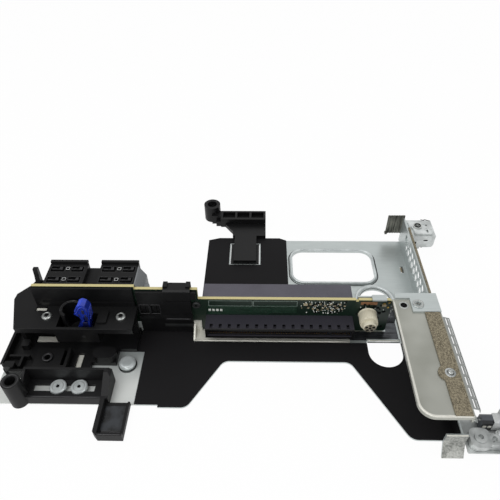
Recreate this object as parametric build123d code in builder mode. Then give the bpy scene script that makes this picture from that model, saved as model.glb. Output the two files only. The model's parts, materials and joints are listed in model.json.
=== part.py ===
from build123d import *

import os
from math import sqrt

# A server riser: a sheet-steel cover plate that carries an upright riser board with two card slots,
# moulded guides with a release lever and a sliding tray on the left, and the slot wall on the right.
# Millimetres. The origin is on the plate's underside, below the wall end of the card slots and in
# line with the board's front face. +X runs towards the slot wall, +Y towards the rear, +Z up.

# Sheet, film and running gaps
plate_t = 1.0
film_t = 0.4
film_margin = 0.8
slide_gap = 0.2
seat_gap = 0.3
run_gap = 0.05

# Cover plate outline
plate_left_x = -207.0
wall_x = 47.0
plate_rear_y = 85.5
rear_bump = 2.5
bump_left_x = -87.0
bump_right_x = -42.0
rear_part_left_x = -95.0
left_rear_y = 22.0
left_front_y = -53.0
lip_left_x = -112.7
lip_right_x = -96.7
lip_reach = 1.5
notch_y = -23.3
notch_left_x = -77.5
notch_right_x = -2.5
toe_x = 24.0
right_front_y = -71.5
notch_r = 6.0
bend_r = 1.4

# Openings in the cover plate
window_x = -5.1
window_y = 57.8
window_w = 56.8
window_d = 31.8
window_r = 8.0
rim_w = 1.6
ring_rim_w = 3.4
rim_h = 1.2
ring_x = 19.8
ring_r = 10.3
ring_rear_y = 36.0
web_rear_y = 13.0
web_front_y = -7.9
ring_front_y = -26.7
key_hole_x = 43.6
key_hole_y = 55.5

# Slot wall
rear_wall_h = 22.0
front_wall_h = 10.0
wall_rear_y = 87.0
wall_front_y = -76.5
post_front_y = -9.0
post_rear_y = 5.3
post_slope_y = 13.0
vent_pitch = 6.0
vent_flat = 5.1
vent_z = 11.0
vent_first_y = 20.0
vent_count = 9
top_lip_w = 1.2
end_tab_w = 10.0
end_tab_h = 15.6
end_tab_lean = 4.2

# Grey flange over the front card space
flange_z = 29.0
flange_left_x = 22.0
flange_front_y = -74.5
flange_rear_y = 1.0
flange_hem = 2.0
flange_leg = 4.0
flange_corner_r = 8.0
tongue_w = 9.5
flange_hole_x = 35.8
tongue_hole_x = 27.7
flange_hole_y = -3.5
flange_hole_r = 1.7

# Conductive gaskets and the spring strip on the flange
gasket_t = 0.8
gasket_w = 8.5
gasket_bump_r = 4.5
gasket_bump_y = -50.0
gasket_rivet_x = 42.1
strip_w = 4.6
strip_t = 0.4
strip_front_y = -70.0
strip_rear_y = -12.0
strip_slots = 9

# Riser board
board_t = 2.0
board_left_x = -190.4
board_right_x = 21.7
board_bottom_z = 2.0
board_raised_z = 9.0
board_top_1 = 40.0
board_top_2 = 38.0
board_top_3 = 30.0
step_1_x = -130.0

# Card slots: a sixteen-lane edge connector, its mouth and its key
slot_w = 89.0
slot_reach = 11.25
slot_h = 8.3
front_slot_z = 11.8
rear_slot_z = 25.65
rear_slot_shift = -1.2
mouth_h = 1.9
mouth_depth = 8.5
mouth_margin = 1.7
key_from_wall_end = 11.65
key_w = 1.7
contact_pitch = 1.0
contact_w = 0.5
contact_t = 0.25
contact_l = 6.0
pocket_count = 16
pocket_pitch = 5.45
pocket_w = 1.8
pocket_d = 3.0
pocket_from_front = 0.9
pocket_h = 1.6
lead_d = 1.1
lead_h = 1.2

# Board bracket, post and thumbscrew
foot_front_y = -9.0
foot_tab_w = 4.8
foot_tab_h = 8.5
thumb_x = 8.4
thumb_z = 19.0
thumb_r = 5.2
thumb_l = 8.2
thumb_nose_r = 3.9
thumb_nose_l = 3.0
thumb_shank_r = 1.5
post_w = 13.0
hook_w = 8.5

# Mating connectors behind the board
block_w = 23.0
block_d = 20.0
block_bottom_z = 14.0
block_top_z = 38.5
left_block_x = -185.0
right_block_x = -153.6
block_lip = 1.5
port_depth = 1.6
port_half_d = 2.2

# Cover and clip on the board
cover_t = 2.0
cover_window_w = 5.6
cover_window_z = (19.0, 26.5)
cover_bar_z = 15.5
clip_w = 16.0
small_part_l = 1.2
small_part_h = 0.7

# Upper moulding
shelf_z = 25.0
shelf_t = 2.0
shelf_front_y = -19.5
shelf_right_x = -129.5
shelf_skirt = 2.0
box_left_x = -174.0
box_bottom_z = 13.0
box_right_x = -151.8
box_rear_y = -7.5
box_wall = 1.5
collar_x = -166.5
collar_y = -8.8
collar_r = 6.5
collar_bore_r = 4.9
collar_h = 6.0

# Release lever
lever_pin_x = -158.8
lever_pin_z = 18.0
lever_pin_r = 1.2
lever_front_y = -16.2
lever_w = 5.6

# Lower moulding
base_right_x = -141.0
base_front_y = -36.8
base_t = 3.0
base_wall_h = 5.0
base_hole_r = 1.6

# Sliding tray
tray_left_x = -189.5
tray_right_x = -139.5
tray_rail = 4.0
tray_rear_y = -37.5
tray_front_y = -53.2
tray_h = 12.4
tray_front_h = 6.2
tray_floor = 2.0
tray_wall = 1.5
tray_slot_left_x = -188.0
tray_slot_right_x = -149.5
tray_slot_y = -44.0
tray_slot_w = 4.6
tab_left_x = -143.5
tab_right_x = -127.5
tab_front_y = -74.5
tab_lip_h = 5.6
guide_post_x = -190.0
guide_post_y = -51.5
guide_post_r = 5.0
guide_bore_r = 2.9
guide_post_h = 19.5

# Fasteners
tray_screw_x = -170.5
tray_screw_pitch = 12.1
tray_screw_head_r = 4.7
tray_screw_r = 2.0
shelf_screw_left_x = -181.5
shelf_screw_right_x = -137.7
shelf_screw_y = -10.4
shelf_screw_head_r = 2.9
shelf_screw_r = 1.4
boss_r = 2.8
boss_l = 6.0
stud_x = -134.4
stud_y = -27.0
stud_r = 4.9
stud_h = 3.2

# Rear guide arm
arm_cut_left_x = -78.0
arm_cut_right_x = -57.0
arm_cut_front_y = 60.0
arm_cut_rear_y = 81.5
arm_t = 3.0
arm_right_x = -52.5
arm_neck_left_x = -75.6
arm_neck_right_x = -59.4
arm_bar_left_x = -87.0
arm_bar_front_y = 101.0
arm_bar_d = 10.5
arm_bar_h = 7.6
arm_post_x = -94.0
arm_post_y = 113.0
arm_post_r = 6.2
arm_bore_r = 3.6
arm_post_h = 13.0

# Card retainers outside the wall
ledge_t = 1.0
rear_ledge_w = 18.0
rear_ledge_front_y = 68.0
rear_ledge_rear_y = 86.0
rear_pivot_x = 54.8
rear_pivot_y = 77.6
front_ledge_w = 23.0
front_ledge_front_y = -82.0
front_ledge_rear_y = -62.5
front_ledge_z = 9.0
front_pivot_x = 54.6
front_pivot_y = -76.0
knuckle_r = 5.3
pivot_r = 2.0
retainer_t = 1.2
cast_t = 4.0

os.makedirs("parts", exist_ok=True)


def middle(low, high):
    return (low + high) / 2


def block(x_span, y_span, z_span, mode=Mode.ADD, corner=0.0):
    # A block between pairs of coordinates, with its upright edges rounded by corner
    with BuildSketch(Plane.XY.offset(z_span[0])) as outline:
        with Locations((middle(*x_span), middle(*y_span))):
            if corner > 0:
                RectangleRounded(x_span[1] - x_span[0], y_span[1] - y_span[0], corner)
            else:
                Rectangle(x_span[1] - x_span[0], y_span[1] - y_span[0])
    extrude(outline.sketch, amount=z_span[1] - z_span[0], mode=mode)


def disc(centre, radius, z_span, mode=Mode.ADD):
    # An upright round bar, or a round hole where mode subtracts
    with BuildSketch(Plane.XY.offset(z_span[0])) as outline:
        with Locations(centre):
            Circle(radius)
    extrude(outline.sketch, amount=z_span[1] - z_span[0], mode=mode)


def prism(plane, points, depth, mode=Mode.ADD, corner=0.0):
    # A polygon on a plane, pushed out along the plane's normal
    with BuildSketch(plane) as outline:
        with BuildLine():
            Polyline(*points, close=True)
        make_face()
        if corner > 0:
            fillet(outline.vertices(), radius=corner)
    extrude(outline.sketch, amount=depth, mode=mode)


def across(y_rear):
    # A plane that faces the front, with X to the right and Z up
    return Plane.XZ.offset(-y_rear)


def save(piece, name):
    piece.part.label = name
    export_step(piece.part, f"parts/{name}.step")


# Positions that follow from the sizes above
plate_top = plate_t
film_top = plate_top + film_t
wall_out_x = wall_x + plate_t
bump_y = plate_rear_y + rear_bump
rear_film_front_y = board_t + plate_t
flange_top = flange_z + plate_t
post_top = flange_top + plate_t
slot_left_x = -slot_w
step_2_x = slot_left_x - 4.0
foot_left_x = slot_left_x - 8.0
base_left_x = plate_left_x + seat_gap + slide_gap
arm_bar_rear_y = arm_bar_front_y + arm_bar_d
lip_rear_y = rear_ledge_rear_y - 4.0
tray_z = plate_top + run_gap
tray_top = tray_z + tray_h
tray_floor_top = tray_z + tray_floor
shelf_under_z = shelf_z - shelf_t
base_top = plate_top + base_t
base_wall_top = base_top + base_wall_h
rear_ledge_z = rear_wall_h - plate_t
retainer_z = rear_ledge_z + slide_gap

# The plate's outline, rounded where the front notch turns
plate_front_points = [
    (plate_left_x, left_front_y),
    (lip_left_x, left_front_y),
    (lip_left_x, left_front_y - lip_reach),
    (lip_right_x, left_front_y - lip_reach),
    (notch_left_x, notch_y),
    (notch_right_x, notch_y),
    (toe_x, right_front_y),
    (wall_out_x, right_front_y),
]
plate_rear_points = [
    (wall_out_x, plate_rear_y),
    (bump_right_x + rear_bump * 2, plate_rear_y),
    (bump_right_x, bump_y),
    (bump_left_x, bump_y),
    (rear_part_left_x, plate_rear_y),
    (rear_part_left_x, left_rear_y),
    (plate_left_x, left_rear_y),
]


def notch_corners(sketch):
    # The two corners of the notch and the two toes that it ends in
    corners = sketch.vertices().filter_by_position(Axis.Y, right_front_y - 1, notch_y + 1)
    return corners.filter_by_position(Axis.X, lip_right_x - 1, toe_x + 1)


def ring_opening(rear_y, front_y, rounded_y):
    # A round-ended opening: a circle at rounded_y joined to a straight edge
    with Locations((ring_x, middle(rear_y, front_y))):
        Rectangle(2 * ring_r, abs(rear_y - front_y), mode=Mode.SUBTRACT)
    with Locations((ring_x, rounded_y)):
        Circle(ring_r, mode=Mode.SUBTRACT)


# Cover plate, folded up at the right into the slot wall
with BuildPart() as cover_plate:
    with BuildSketch(Plane.XY) as base_outline:
        with BuildLine():
            Polyline(*plate_front_points, *plate_rear_points, close=True)
        make_face()
        fillet(notch_corners(base_outline), radius=notch_r)
        with Locations((window_x, window_y)):
            RectangleRounded(window_w, window_d, window_r, mode=Mode.SUBTRACT)
        ring_opening(ring_rear_y - ring_r, web_rear_y, ring_rear_y - ring_r)
        ring_opening(web_front_y, ring_front_y + ring_r, ring_front_y + ring_r)
        with Locations((middle(arm_cut_left_x, arm_cut_right_x), middle(arm_cut_front_y, arm_cut_rear_y))):
            Rectangle(arm_cut_right_x - arm_cut_left_x, arm_cut_rear_y - arm_cut_front_y,
                      mode=Mode.SUBTRACT)
        with Locations((key_hole_x, key_hole_y)):
            Rectangle(2.4, 6.5, mode=Mode.SUBTRACT)
    extrude(amount=plate_t)

    # Turned-up rims round the window and the rear round opening
    with BuildSketch(Plane.XY.offset(plate_top)) as rims:
        with Locations((window_x, window_y)):
            RectangleRounded(window_w + 2 * rim_w, window_d + 2 * rim_w, window_r + rim_w)
            RectangleRounded(window_w, window_d, window_r, mode=Mode.SUBTRACT)
        with Locations((ring_x, ring_rear_y - ring_r)):
            Circle(ring_r + ring_rim_w)
            Circle(ring_r, mode=Mode.SUBTRACT)
            with Locations((0, -ring_r - ring_rim_w)):
                Rectangle(3 * ring_r, 2 * ring_r, mode=Mode.SUBTRACT)
    extrude(amount=rim_h)
    block((ring_x - ring_r, ring_x + ring_r), (web_front_y, web_front_y + 1.2),
          (plate_top, plate_top + rim_h))

    # The wall, low in front, tall at the post between the two card spaces
    wall_points = [
        (wall_front_y, bend_r + 0.1),
        (right_front_y, bend_r + 0.1),
        (right_front_y, 0),
        (plate_rear_y, 0),
        (plate_rear_y, bend_r + 0.1),
        (wall_rear_y, bend_r + 0.1),
        (wall_rear_y, rear_wall_h),
        (post_slope_y, rear_wall_h),
        (post_rear_y, post_top),
        (post_front_y, post_top),
        (post_front_y, front_wall_h),
        (wall_front_y, front_wall_h),
    ]
    prism(Plane.YZ.offset(wall_x), wall_points, plate_t)
    with BuildSketch(across(plate_rear_y)) as fold_waste:
        with Locations((wall_out_x - bend_r / 2, bend_r / 2)):
            Rectangle(bend_r, bend_r)
        with Locations((wall_out_x - bend_r, bend_r)):
            Circle(bend_r, mode=Mode.SUBTRACT)
    extrude(amount=plate_rear_y - right_front_y, mode=Mode.SUBTRACT)

    # Six-sided vents in two rows
    with BuildSketch(Plane.YZ.offset(wall_x)) as vents:
        for row in range(2):
            row_y = vent_first_y + row * vent_pitch / 2
            for number in range(vent_count):
                with Locations((row_y + number * vent_pitch, vent_z + row * vent_pitch * sqrt(3) / 2)):
                    RegularPolygon(vent_flat / 2, 6, major_radius=False, rotation=30)
    extrude(amount=plate_t, mode=Mode.SUBTRACT)

    # Post top turned in over the flange, with its raised screw hole
    post_points = [
        (flange_left_x + 1.6, post_rear_y),
        (flange_left_x + 1.6, flange_rear_y + seat_gap),
        (flange_left_x + tongue_w + seat_gap, flange_rear_y + seat_gap),
        (flange_left_x + tongue_w + seat_gap, post_front_y),
        (wall_x, post_front_y),
        (wall_x, post_rear_y),
    ]
    prism(Plane.XY.offset(flange_top), post_points, plate_t)
    disc((flange_hole_x, flange_hole_y), 3.4, (post_top, post_top + 0.4))
    disc((flange_hole_x, flange_hole_y), flange_hole_r, (flange_top, post_top + 0.4), Mode.SUBTRACT)

    # Lip along the rear wall's top, and the end tab in front
    block((wall_out_x, wall_out_x + top_lip_w), (post_slope_y, lip_rear_y),
          (rear_wall_h - plate_t, rear_wall_h))
    prism(Plane.YZ.offset(wall_x - end_tab_w), [
        (wall_front_y, end_tab_h),
        (wall_front_y + plate_t, end_tab_h),
        (wall_front_y + plate_t, end_tab_h / 2),
        (wall_front_y + plate_t - end_tab_lean, 0.3),
        (wall_front_y - end_tab_lean, 0.3),
        (wall_front_y, end_tab_h / 2 + 0.4),
    ], end_tab_w + plate_t)
save(cover_plate, "cover_plate")

# Insulating film on the plate, in two pieces
with BuildPart() as rear_film:
    with BuildSketch(Plane.XY.offset(plate_top)) as rear_film_outline:
        with BuildLine():
            Polyline(
                (rear_part_left_x, rear_film_front_y),
                (bump_right_x + rear_bump * 2, rear_film_front_y),
                (bump_right_x + rear_bump * 2, plate_rear_y),
                (bump_right_x, bump_y),
                (bump_left_x, bump_y),
                (rear_part_left_x, plate_rear_y),
                close=True,
            )
        make_face()
        with Locations((middle(arm_cut_left_x, arm_cut_right_x), middle(arm_cut_front_y, arm_cut_rear_y))):
            Rectangle(arm_cut_right_x - arm_cut_left_x + 2 * film_margin,
                      arm_cut_rear_y - arm_cut_front_y + 2 * film_margin, mode=Mode.SUBTRACT)
    extrude(amount=film_t)
save(rear_film, "rear_film")

film_left_x = -126.0
film_rear_y = foot_front_y - seat_gap
with BuildPart() as front_film:
    with BuildSketch(Plane.XY.offset(plate_top)) as front_film_outline:
        with BuildLine():
            Polyline(
                (film_left_x, left_front_y),
                *plate_front_points[1:7],
                (wall_x, right_front_y),
                (wall_x, film_rear_y),
                (foot_left_x - seat_gap, film_rear_y),
                (foot_left_x - seat_gap, -seat_gap),
                (film_left_x, -seat_gap),
                close=True,
            )
        make_face()
        fillet(notch_corners(front_film_outline), radius=notch_r)
        ring_opening(film_rear_y + 1, ring_front_y + ring_r, ring_front_y + ring_r)
    extrude(amount=film_t)
    block((wall_x - film_t, wall_x), (right_front_y, film_rear_y), (plate_top, front_wall_h - film_margin))
save(front_film, "front_film")

# Grey flange over the front card space, hemmed at its free edges
with BuildPart() as front_flange:
    flange_points = [
        (flange_left_x, flange_front_y),
        (wall_out_x, flange_front_y),
        (wall_out_x, post_front_y - seat_gap),
        (wall_x - seat_gap, post_front_y - seat_gap),
        (wall_x - seat_gap, flange_rear_y),
        (flange_left_x, flange_rear_y),
    ]
    with BuildSketch(Plane.XY.offset(flange_z - flange_hem)) as flange_outline:
        with BuildLine():
            Polyline(*flange_points, close=True)
        make_face()
        fillet(flange_outline.vertices().group_by(Axis.Y)[0].sort_by(Axis.X)[0], radius=flange_corner_r)
    extrude(amount=plate_t + flange_hem)
    fillet(front_flange.edges().filter_by(Axis.Y).group_by(Axis.X)[0].sort_by(Axis.Z)[-1], radius=0.6)
    with BuildSketch(Plane.XY.offset(flange_z - flange_hem)) as flange_inside:
        with BuildLine():
            Polyline(
                (flange_left_x + plate_t, flange_front_y + plate_t),
                (wall_x + plate_t + 1, flange_front_y + plate_t),
                (wall_x + plate_t + 1, flange_rear_y + 1),
                (flange_left_x + plate_t, flange_rear_y + 1),
                close=True,
            )
        make_face()
        fillet(flange_inside.vertices().group_by(Axis.Y)[0].sort_by(Axis.X)[0],
               radius=flange_corner_r - plate_t)
    extrude(amount=flange_hem, mode=Mode.SUBTRACT)
    block((wall_x, wall_out_x), (flange_front_y, post_front_y - seat_gap),
          (flange_z - flange_leg, flange_z))
    disc((tongue_hole_x, flange_hole_y), 1.9, (flange_z, flange_top), Mode.SUBTRACT)
    disc((flange_hole_x, flange_hole_y), flange_hole_r, (flange_z, flange_top), Mode.SUBTRACT)
save(front_flange, "front_flange")

# Conductive gaskets, the rivet through the front one, and the slotted spring strip
gasket_right_x = wall_x
gasket_left_x = gasket_right_x - gasket_w
with BuildPart() as front_gasket:
    with BuildSketch(Plane.XY.offset(flange_top)) as front_gasket_outline:
        with Locations((middle(gasket_left_x, gasket_right_x),
                        middle(flange_front_y + 0.3, post_front_y - seat_gap))):
            Rectangle(gasket_w, post_front_y - seat_gap - flange_front_y - 0.3)
        with Locations((gasket_left_x + 2, gasket_bump_y)):
            Circle(gasket_bump_r)
        with Locations((gasket_rivet_x, gasket_bump_y)):
            Circle(2.0, mode=Mode.SUBTRACT)
    extrude(amount=gasket_t)
save(front_gasket, "front_gasket")

with BuildPart() as flange_rivet:
    disc((gasket_rivet_x, gasket_bump_y), 1.8, (flange_top, flange_top + 0.9))
    chamfer(flange_rivet.edges().group_by(Axis.Z)[-1], length=0.4)
save(flange_rivet, "flange_rivet")

with BuildPart() as rear_gasket:
    block((wall_out_x, wall_out_x + top_lip_w), (post_slope_y + 0.3, lip_rear_y - 6),
          (rear_wall_h, rear_wall_h + gasket_t))
save(rear_gasket, "rear_gasket")

with BuildPart() as spring_strip:
    strip_points = [
        (wall_out_x, flange_top - strip_t),
        (wall_out_x, flange_top),
        (wall_out_x + strip_w - 0.6, flange_top - 1.2),
        (wall_out_x + strip_w, flange_top - 3.8),
        (wall_out_x + strip_w - strip_t, flange_top - 3.8),
        (wall_out_x + strip_w - 0.6 - strip_t, flange_top - 1.2 - strip_t),
    ]
    prism(across(strip_rear_y), strip_points, strip_rear_y - strip_front_y)
    strip_pitch = (strip_rear_y - strip_front_y) / strip_slots
    with BuildSketch(Plane.XY.offset(flange_top)) as strip_cuts:
        with GridLocations(0, strip_pitch, 1, strip_slots):
            with Locations((wall_out_x + 1.5, middle(strip_front_y, strip_rear_y))):
                Rectangle(0.8, strip_pitch * 0.8)
            with Locations((wall_out_x + 3.2, middle(strip_front_y, strip_rear_y))):
                Rectangle(0.8, strip_pitch * 0.8)
    extrude(amount=-3, mode=Mode.SUBTRACT)
save(spring_strip, "spring_strip")

# Riser board, with its top edge in three steps
with BuildPart() as riser_board:
    board_points = [
        (board_left_x, board_raised_z),
        (step_1_x, board_raised_z),
        (step_1_x, board_bottom_z),
        (board_right_x, board_bottom_z),
        (board_right_x, board_top_3),
        (step_2_x, board_top_3),
        (step_2_x, board_top_2),
        (step_1_x, board_top_2),
        (step_1_x, board_top_1),
        (board_left_x, board_top_1),
    ]
    prism(across(board_t), board_points, board_t)
    with BuildSketch(across(board_t)) as board_holes:
        with Locations((thumb_x, thumb_z)):
            Circle(thumb_shank_r + seat_gap)
        with Locations((1.4, board_top_3)):
            Rectangle(1.6, 2.4)
    extrude(amount=board_t, mode=Mode.SUBTRACT)
    chamfer(riser_board.edges().filter_by(Axis.Y).group_by(Axis.X)[-1], length=1.0)
save(riser_board, "riser_board")


def slot_housing(x_left, y_board, reach, z_mid, mouth_cut):
    # A card slot's housing on the board: reach is positive to the rear and negative to the front
    y_span = sorted((y_board, y_board + reach))
    block((x_left, x_left + slot_w), y_span, (z_mid - slot_h / 2, z_mid + slot_h / 2))
    sign = 1 if reach > 0 else -1
    mouth_y = sorted((y_board + reach, y_board + reach - sign * mouth_cut))
    key_x = x_left + slot_w - mouth_margin - key_from_wall_end
    mouth_z = (z_mid - mouth_h / 2, z_mid + mouth_h / 2)
    block((key_x, x_left + slot_w - mouth_margin), mouth_y, mouth_z, Mode.SUBTRACT)
    block((x_left + mouth_margin, key_x - key_w), mouth_y, mouth_z, Mode.SUBTRACT)
    # A shallow step that leads the card's edge into the mouth
    lead_y = sorted((y_board + reach, y_board + reach - sign * lead_d))
    lead_z = (z_mid - mouth_h / 2 - lead_h, z_mid + mouth_h / 2 + lead_h)
    block((x_left + mouth_margin - 0.4, x_left + slot_w - mouth_margin + 0.4), lead_y, lead_z,
          Mode.SUBTRACT)


def slot_contacts(x_left, y_board, reach, z_mid):
    # The rows of contact springs along both walls of the mouth
    sign = 1 if reach > 0 else -1
    y_start = y_board + reach - sign * (1.2 + contact_l)
    y_span = sorted((y_start, y_start + sign * contact_l))
    key_x = x_left + slot_w - mouth_margin - key_from_wall_end
    short_count = int((key_from_wall_end - 0.4) / contact_pitch)
    long_count = int((key_x - key_w - x_left - mouth_margin - 0.4) / contact_pitch)
    for z_low in (z_mid - mouth_h / 2, z_mid + mouth_h / 2 - contact_t):
        with BuildSketch(Plane.XY.offset(z_low)) as springs:
            with Locations((key_x + key_from_wall_end / 2, middle(*y_span))):
                with GridLocations(contact_pitch, 1, short_count, 1):
                    Rectangle(contact_w, contact_l)
            with Locations((middle(x_left + mouth_margin, key_x - key_w), middle(*y_span))):
                with GridLocations(contact_pitch, 1, long_count, 1):
                    Rectangle(contact_w, contact_l)
        extrude(springs.sketch, amount=contact_t)


with BuildPart() as front_slot:
    slot_housing(slot_left_x, 0, -slot_reach, front_slot_z, mouth_depth)
    front_slot_top = front_slot_z + slot_h / 2
    with BuildSketch(Plane.XY.offset(front_slot_top)) as front_pockets:
        with Locations((middle(slot_left_x, 0), -slot_reach + pocket_from_front + pocket_d / 2)):
            with GridLocations(pocket_pitch, 1, pocket_count, 1):
                Rectangle(pocket_w, pocket_d)
    extrude(amount=-pocket_h, mode=Mode.SUBTRACT)
    chamfer(front_slot.edges().filter_by(Axis.X).group_by(Axis.Y)[0].sort_by(Axis.Z)[-1], length=0.5)
save(front_slot, "front_slot")

with BuildPart() as rear_slot:
    slot_housing(slot_left_x + rear_slot_shift, board_t, slot_reach, rear_slot_z, mouth_depth)
    chamfer(rear_slot.edges().filter_by(Axis.X).group_by(Axis.Y)[-1].sort_by(Axis.Z)[-1], length=0.5)
save(rear_slot, "rear_slot")

with BuildPart() as front_contacts:
    slot_contacts(slot_left_x, 0, -slot_reach, front_slot_z)
save(front_contacts, "front_contacts")

with BuildPart() as rear_contacts:
    slot_contacts(slot_left_x + rear_slot_shift, board_t, slot_reach, rear_slot_z)
save(rear_contacts, "rear_contacts")

# Sheet bracket that the board stands on, with a tab up its front at the left
with BuildPart() as board_bracket:
    block((foot_left_x, -1), (foot_front_y, board_t + 0.4), (plate_top, board_bottom_z))
    prism(Plane.YZ.offset(foot_left_x), [
        (-0.9, board_bottom_z),
        (0, board_bottom_z),
        (0, board_bottom_z + foot_tab_h),
        (-0.9, board_bottom_z + foot_tab_h),
    ], foot_tab_w)
    prism(Plane.YZ.offset(foot_left_x), [
        (foot_front_y, board_bottom_z),
        (-0.9, board_bottom_z),
        (-0.9, board_bottom_z + 6),
    ], 1.0)
save(board_bracket, "board_bracket")

# Post behind the board's right end: a folded ear with a threaded boss and a hook over the board
post_left_x = thumb_x - post_w / 2
post_y = board_t + seat_gap
with BuildPart() as board_post:
    block((post_left_x, post_left_x + post_w), (post_y, post_y + plate_t),
          (plate_top, board_top_3 + seat_gap))
    block((post_left_x + 1, post_left_x + post_w - 1), (post_y + plate_t, web_rear_y - 1),
          (plate_top, plate_top + 1))
    hook_right_x = post_left_x + post_w + 3.6
    hook_left_x = hook_right_x - hook_w
    block((hook_left_x, hook_right_x), (-1.0, post_y + plate_t),
          (board_top_3 + seat_gap, board_top_3 + seat_gap + 1), corner=0.4)
    block((hook_left_x, hook_right_x), (post_y, post_y + plate_t),
          (board_top_3 - 6, board_top_3 + seat_gap))
    with BuildSketch(across(post_y + plate_t)) as boss_outline:
        with Locations((thumb_x, thumb_z)):
            RegularPolygon(3.2, 6)
    extrude(amount=-3.4)
    with BuildSketch(across(post_y + plate_t + 4)) as boss_bore:
        with Locations((thumb_x, thumb_z)):
            Circle(thumb_shank_r + run_gap)
    extrude(amount=plate_t + 5, mode=Mode.SUBTRACT)
save(board_post, "board_post")

# Captive thumbscrew: a moulded knob on a steel shank
knob_rear_y = -0.8
knob_front_y = knob_rear_y - thumb_l
with BuildPart() as thumbscrew_knob:
    with BuildSketch(Plane.YZ.offset(thumb_x)) as knob_half:
        with BuildLine():
            Polyline(
                (knob_rear_y, thumb_z + thumb_shank_r),
                (knob_rear_y, thumb_z + thumb_r),
                (knob_rear_y - 0.5, thumb_z + thumb_r + 0.35),
                (knob_rear_y - 1.2, thumb_z + thumb_r),
                (knob_front_y, thumb_z + thumb_r),
                (knob_front_y, thumb_z + thumb_nose_r),
                (knob_front_y - thumb_nose_l + 0.6, thumb_z + thumb_nose_r),
                (knob_front_y - thumb_nose_l, thumb_z + thumb_nose_r - 0.6),
                (knob_front_y - thumb_nose_l, thumb_z),
                (knob_front_y + 2, thumb_z),
                (knob_front_y + 2, thumb_z + thumb_shank_r),
                close=True,
            )
        make_face()
    revolve(axis=Axis((thumb_x, 0, thumb_z), (0, 1, 0)))
    nose_y = knob_front_y - thumb_nose_l
    with BuildSketch(across(nose_y)) as nose_recesses:
        with Locations((thumb_x, thumb_z)):
            Circle(0.6)
            with PolarLocations(thumb_nose_r * 0.58, 5):
                Circle(0.6)
    extrude(amount=-1.2, mode=Mode.SUBTRACT)
save(thumbscrew_knob, "thumbscrew_knob")

with BuildPart() as thumbscrew_shank:
    with BuildSketch(across(post_y + plate_t + 5)) as shank_outline:
        with Locations((thumb_x, thumb_z)):
            Circle(thumb_shank_r)
    extrude(amount=post_y + plate_t + 5 - knob_front_y - 2)
    chamfer(thumbscrew_shank.edges().group_by(Axis.Y)[-1], length=0.4)
save(thumbscrew_shank, "thumbscrew_shank")


def mating_block(x_left):
    # A two-row plug-in connector that opens upwards, with its raised rear lip
    x_span = (x_left, x_left + block_w)
    rear_y = board_t + block_d
    block(x_span, (board_t, rear_y), (block_bottom_z, block_top_z))
    block((x_left, x_left + block_w), (rear_y - 1.4, rear_y + 0.6), (block_top_z, block_top_z + block_lip))
    for row in range(2):
        row_y = board_t + 5 + row * 9
        y_span = (row_y - port_half_d, row_y + port_half_d)
        floor_z = block_top_z - port_depth
        block((x_left + 1.6, x_left + 9.8), y_span, (floor_z, block_top_z), Mode.SUBTRACT)
        block((x_left + 14.2, x_left + block_w - 1.6), y_span, (floor_z, block_top_z), Mode.SUBTRACT)
        block((x_left + 2.6, x_left + 8.8), (row_y - 0.6, row_y + 0.6), (floor_z, block_top_z - 0.2))
        block((x_left + 15.4, x_left + block_w - 2.8), (row_y - 0.6, row_y + 0.6),
              (floor_z, block_top_z - 0.2))
        block((x_left + 10.8, x_left + 13.2), (row_y - 1.2, row_y + 1.2), (block_top_z, block_top_z + 0.5))
        block((x_left + 11.4, x_left + 12.6), (row_y - 0.6, row_y + 0.6),
              (block_top_z - 2, block_top_z + 0.5),
              Mode.SUBTRACT)


with BuildPart() as mating_block_left:
    mating_block(left_block_x)
save(mating_block_left, "mating_block_left")

with BuildPart() as mating_block_right:
    mating_block(right_block_x)
save(mating_block_right, "mating_block_right")

with BuildPart() as block_spacer:
    spacer_left_x = left_block_x + block_w
    block((spacer_left_x, right_block_x), (board_t, board_t + block_d - 2),
          (block_bottom_z, block_top_z - 3))
    block((spacer_left_x, spacer_left_x + 0.8), (board_t, board_t + block_d - 2),
          (block_top_z - 3, block_top_z + 0.2))
save(block_spacer, "block_spacer")

# Slanted side plate beside the right block
with BuildPart() as block_side_plate:
    side_x = right_block_x + block_w
    prism(across(board_t + 16), [
        (side_x, block_top_z + 0.2),
        (side_x + 0.6, block_top_z + 0.2),
        (side_x + 4.4, block_top_z - 6.6),
        (side_x + 4.4, block_top_z - 14),
        (side_x + 3.4, block_top_z - 14),
        (side_x + 3.4, block_top_z - 6.9),
        (side_x + 1, block_top_z - 2.6),
        (side_x + 1, block_top_z - 8),
        (side_x, block_top_z - 8),
    ], 15.4)
    block((side_x + 4.4, side_x + 7.4), (7, 10), (block_top_z - 9, block_top_z - 6), corner=0.6)
    block((side_x + 4.4, side_x + 6), (5, 13), (block_top_z - 13, block_top_z - 9))
save(block_side_plate, "block_side_plate")

# Clip over the board's top edge
with BuildPart() as board_clip:
    clip_x = (step_2_x - clip_w - 4.0, step_2_x - 4.0)
    prism(Plane.YZ.offset(clip_x[0]), [
        (-2.6, board_top_2 - 1),
        (0, board_top_2 - 1),
        (0, board_top_2),
        (board_t, board_top_2),
        (board_t, board_top_2 - 6),
        (board_t + 2.4, board_top_2 - 6),
        (board_t + 2.4, board_top_2 + 1.3),
        (-1.4, board_top_2 + 1.3),
        (-2.6, board_top_2 + 0.4),
    ], clip_x[1] - clip_x[0])
    for ear_x in (clip_x[0], clip_x[1] - 2.6):
        block((ear_x, ear_x + 2.6), (0.2, board_t + 2.4), (board_top_2 + 1.3, board_top_2 + 2.3))
save(board_clip, "board_clip")

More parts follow.
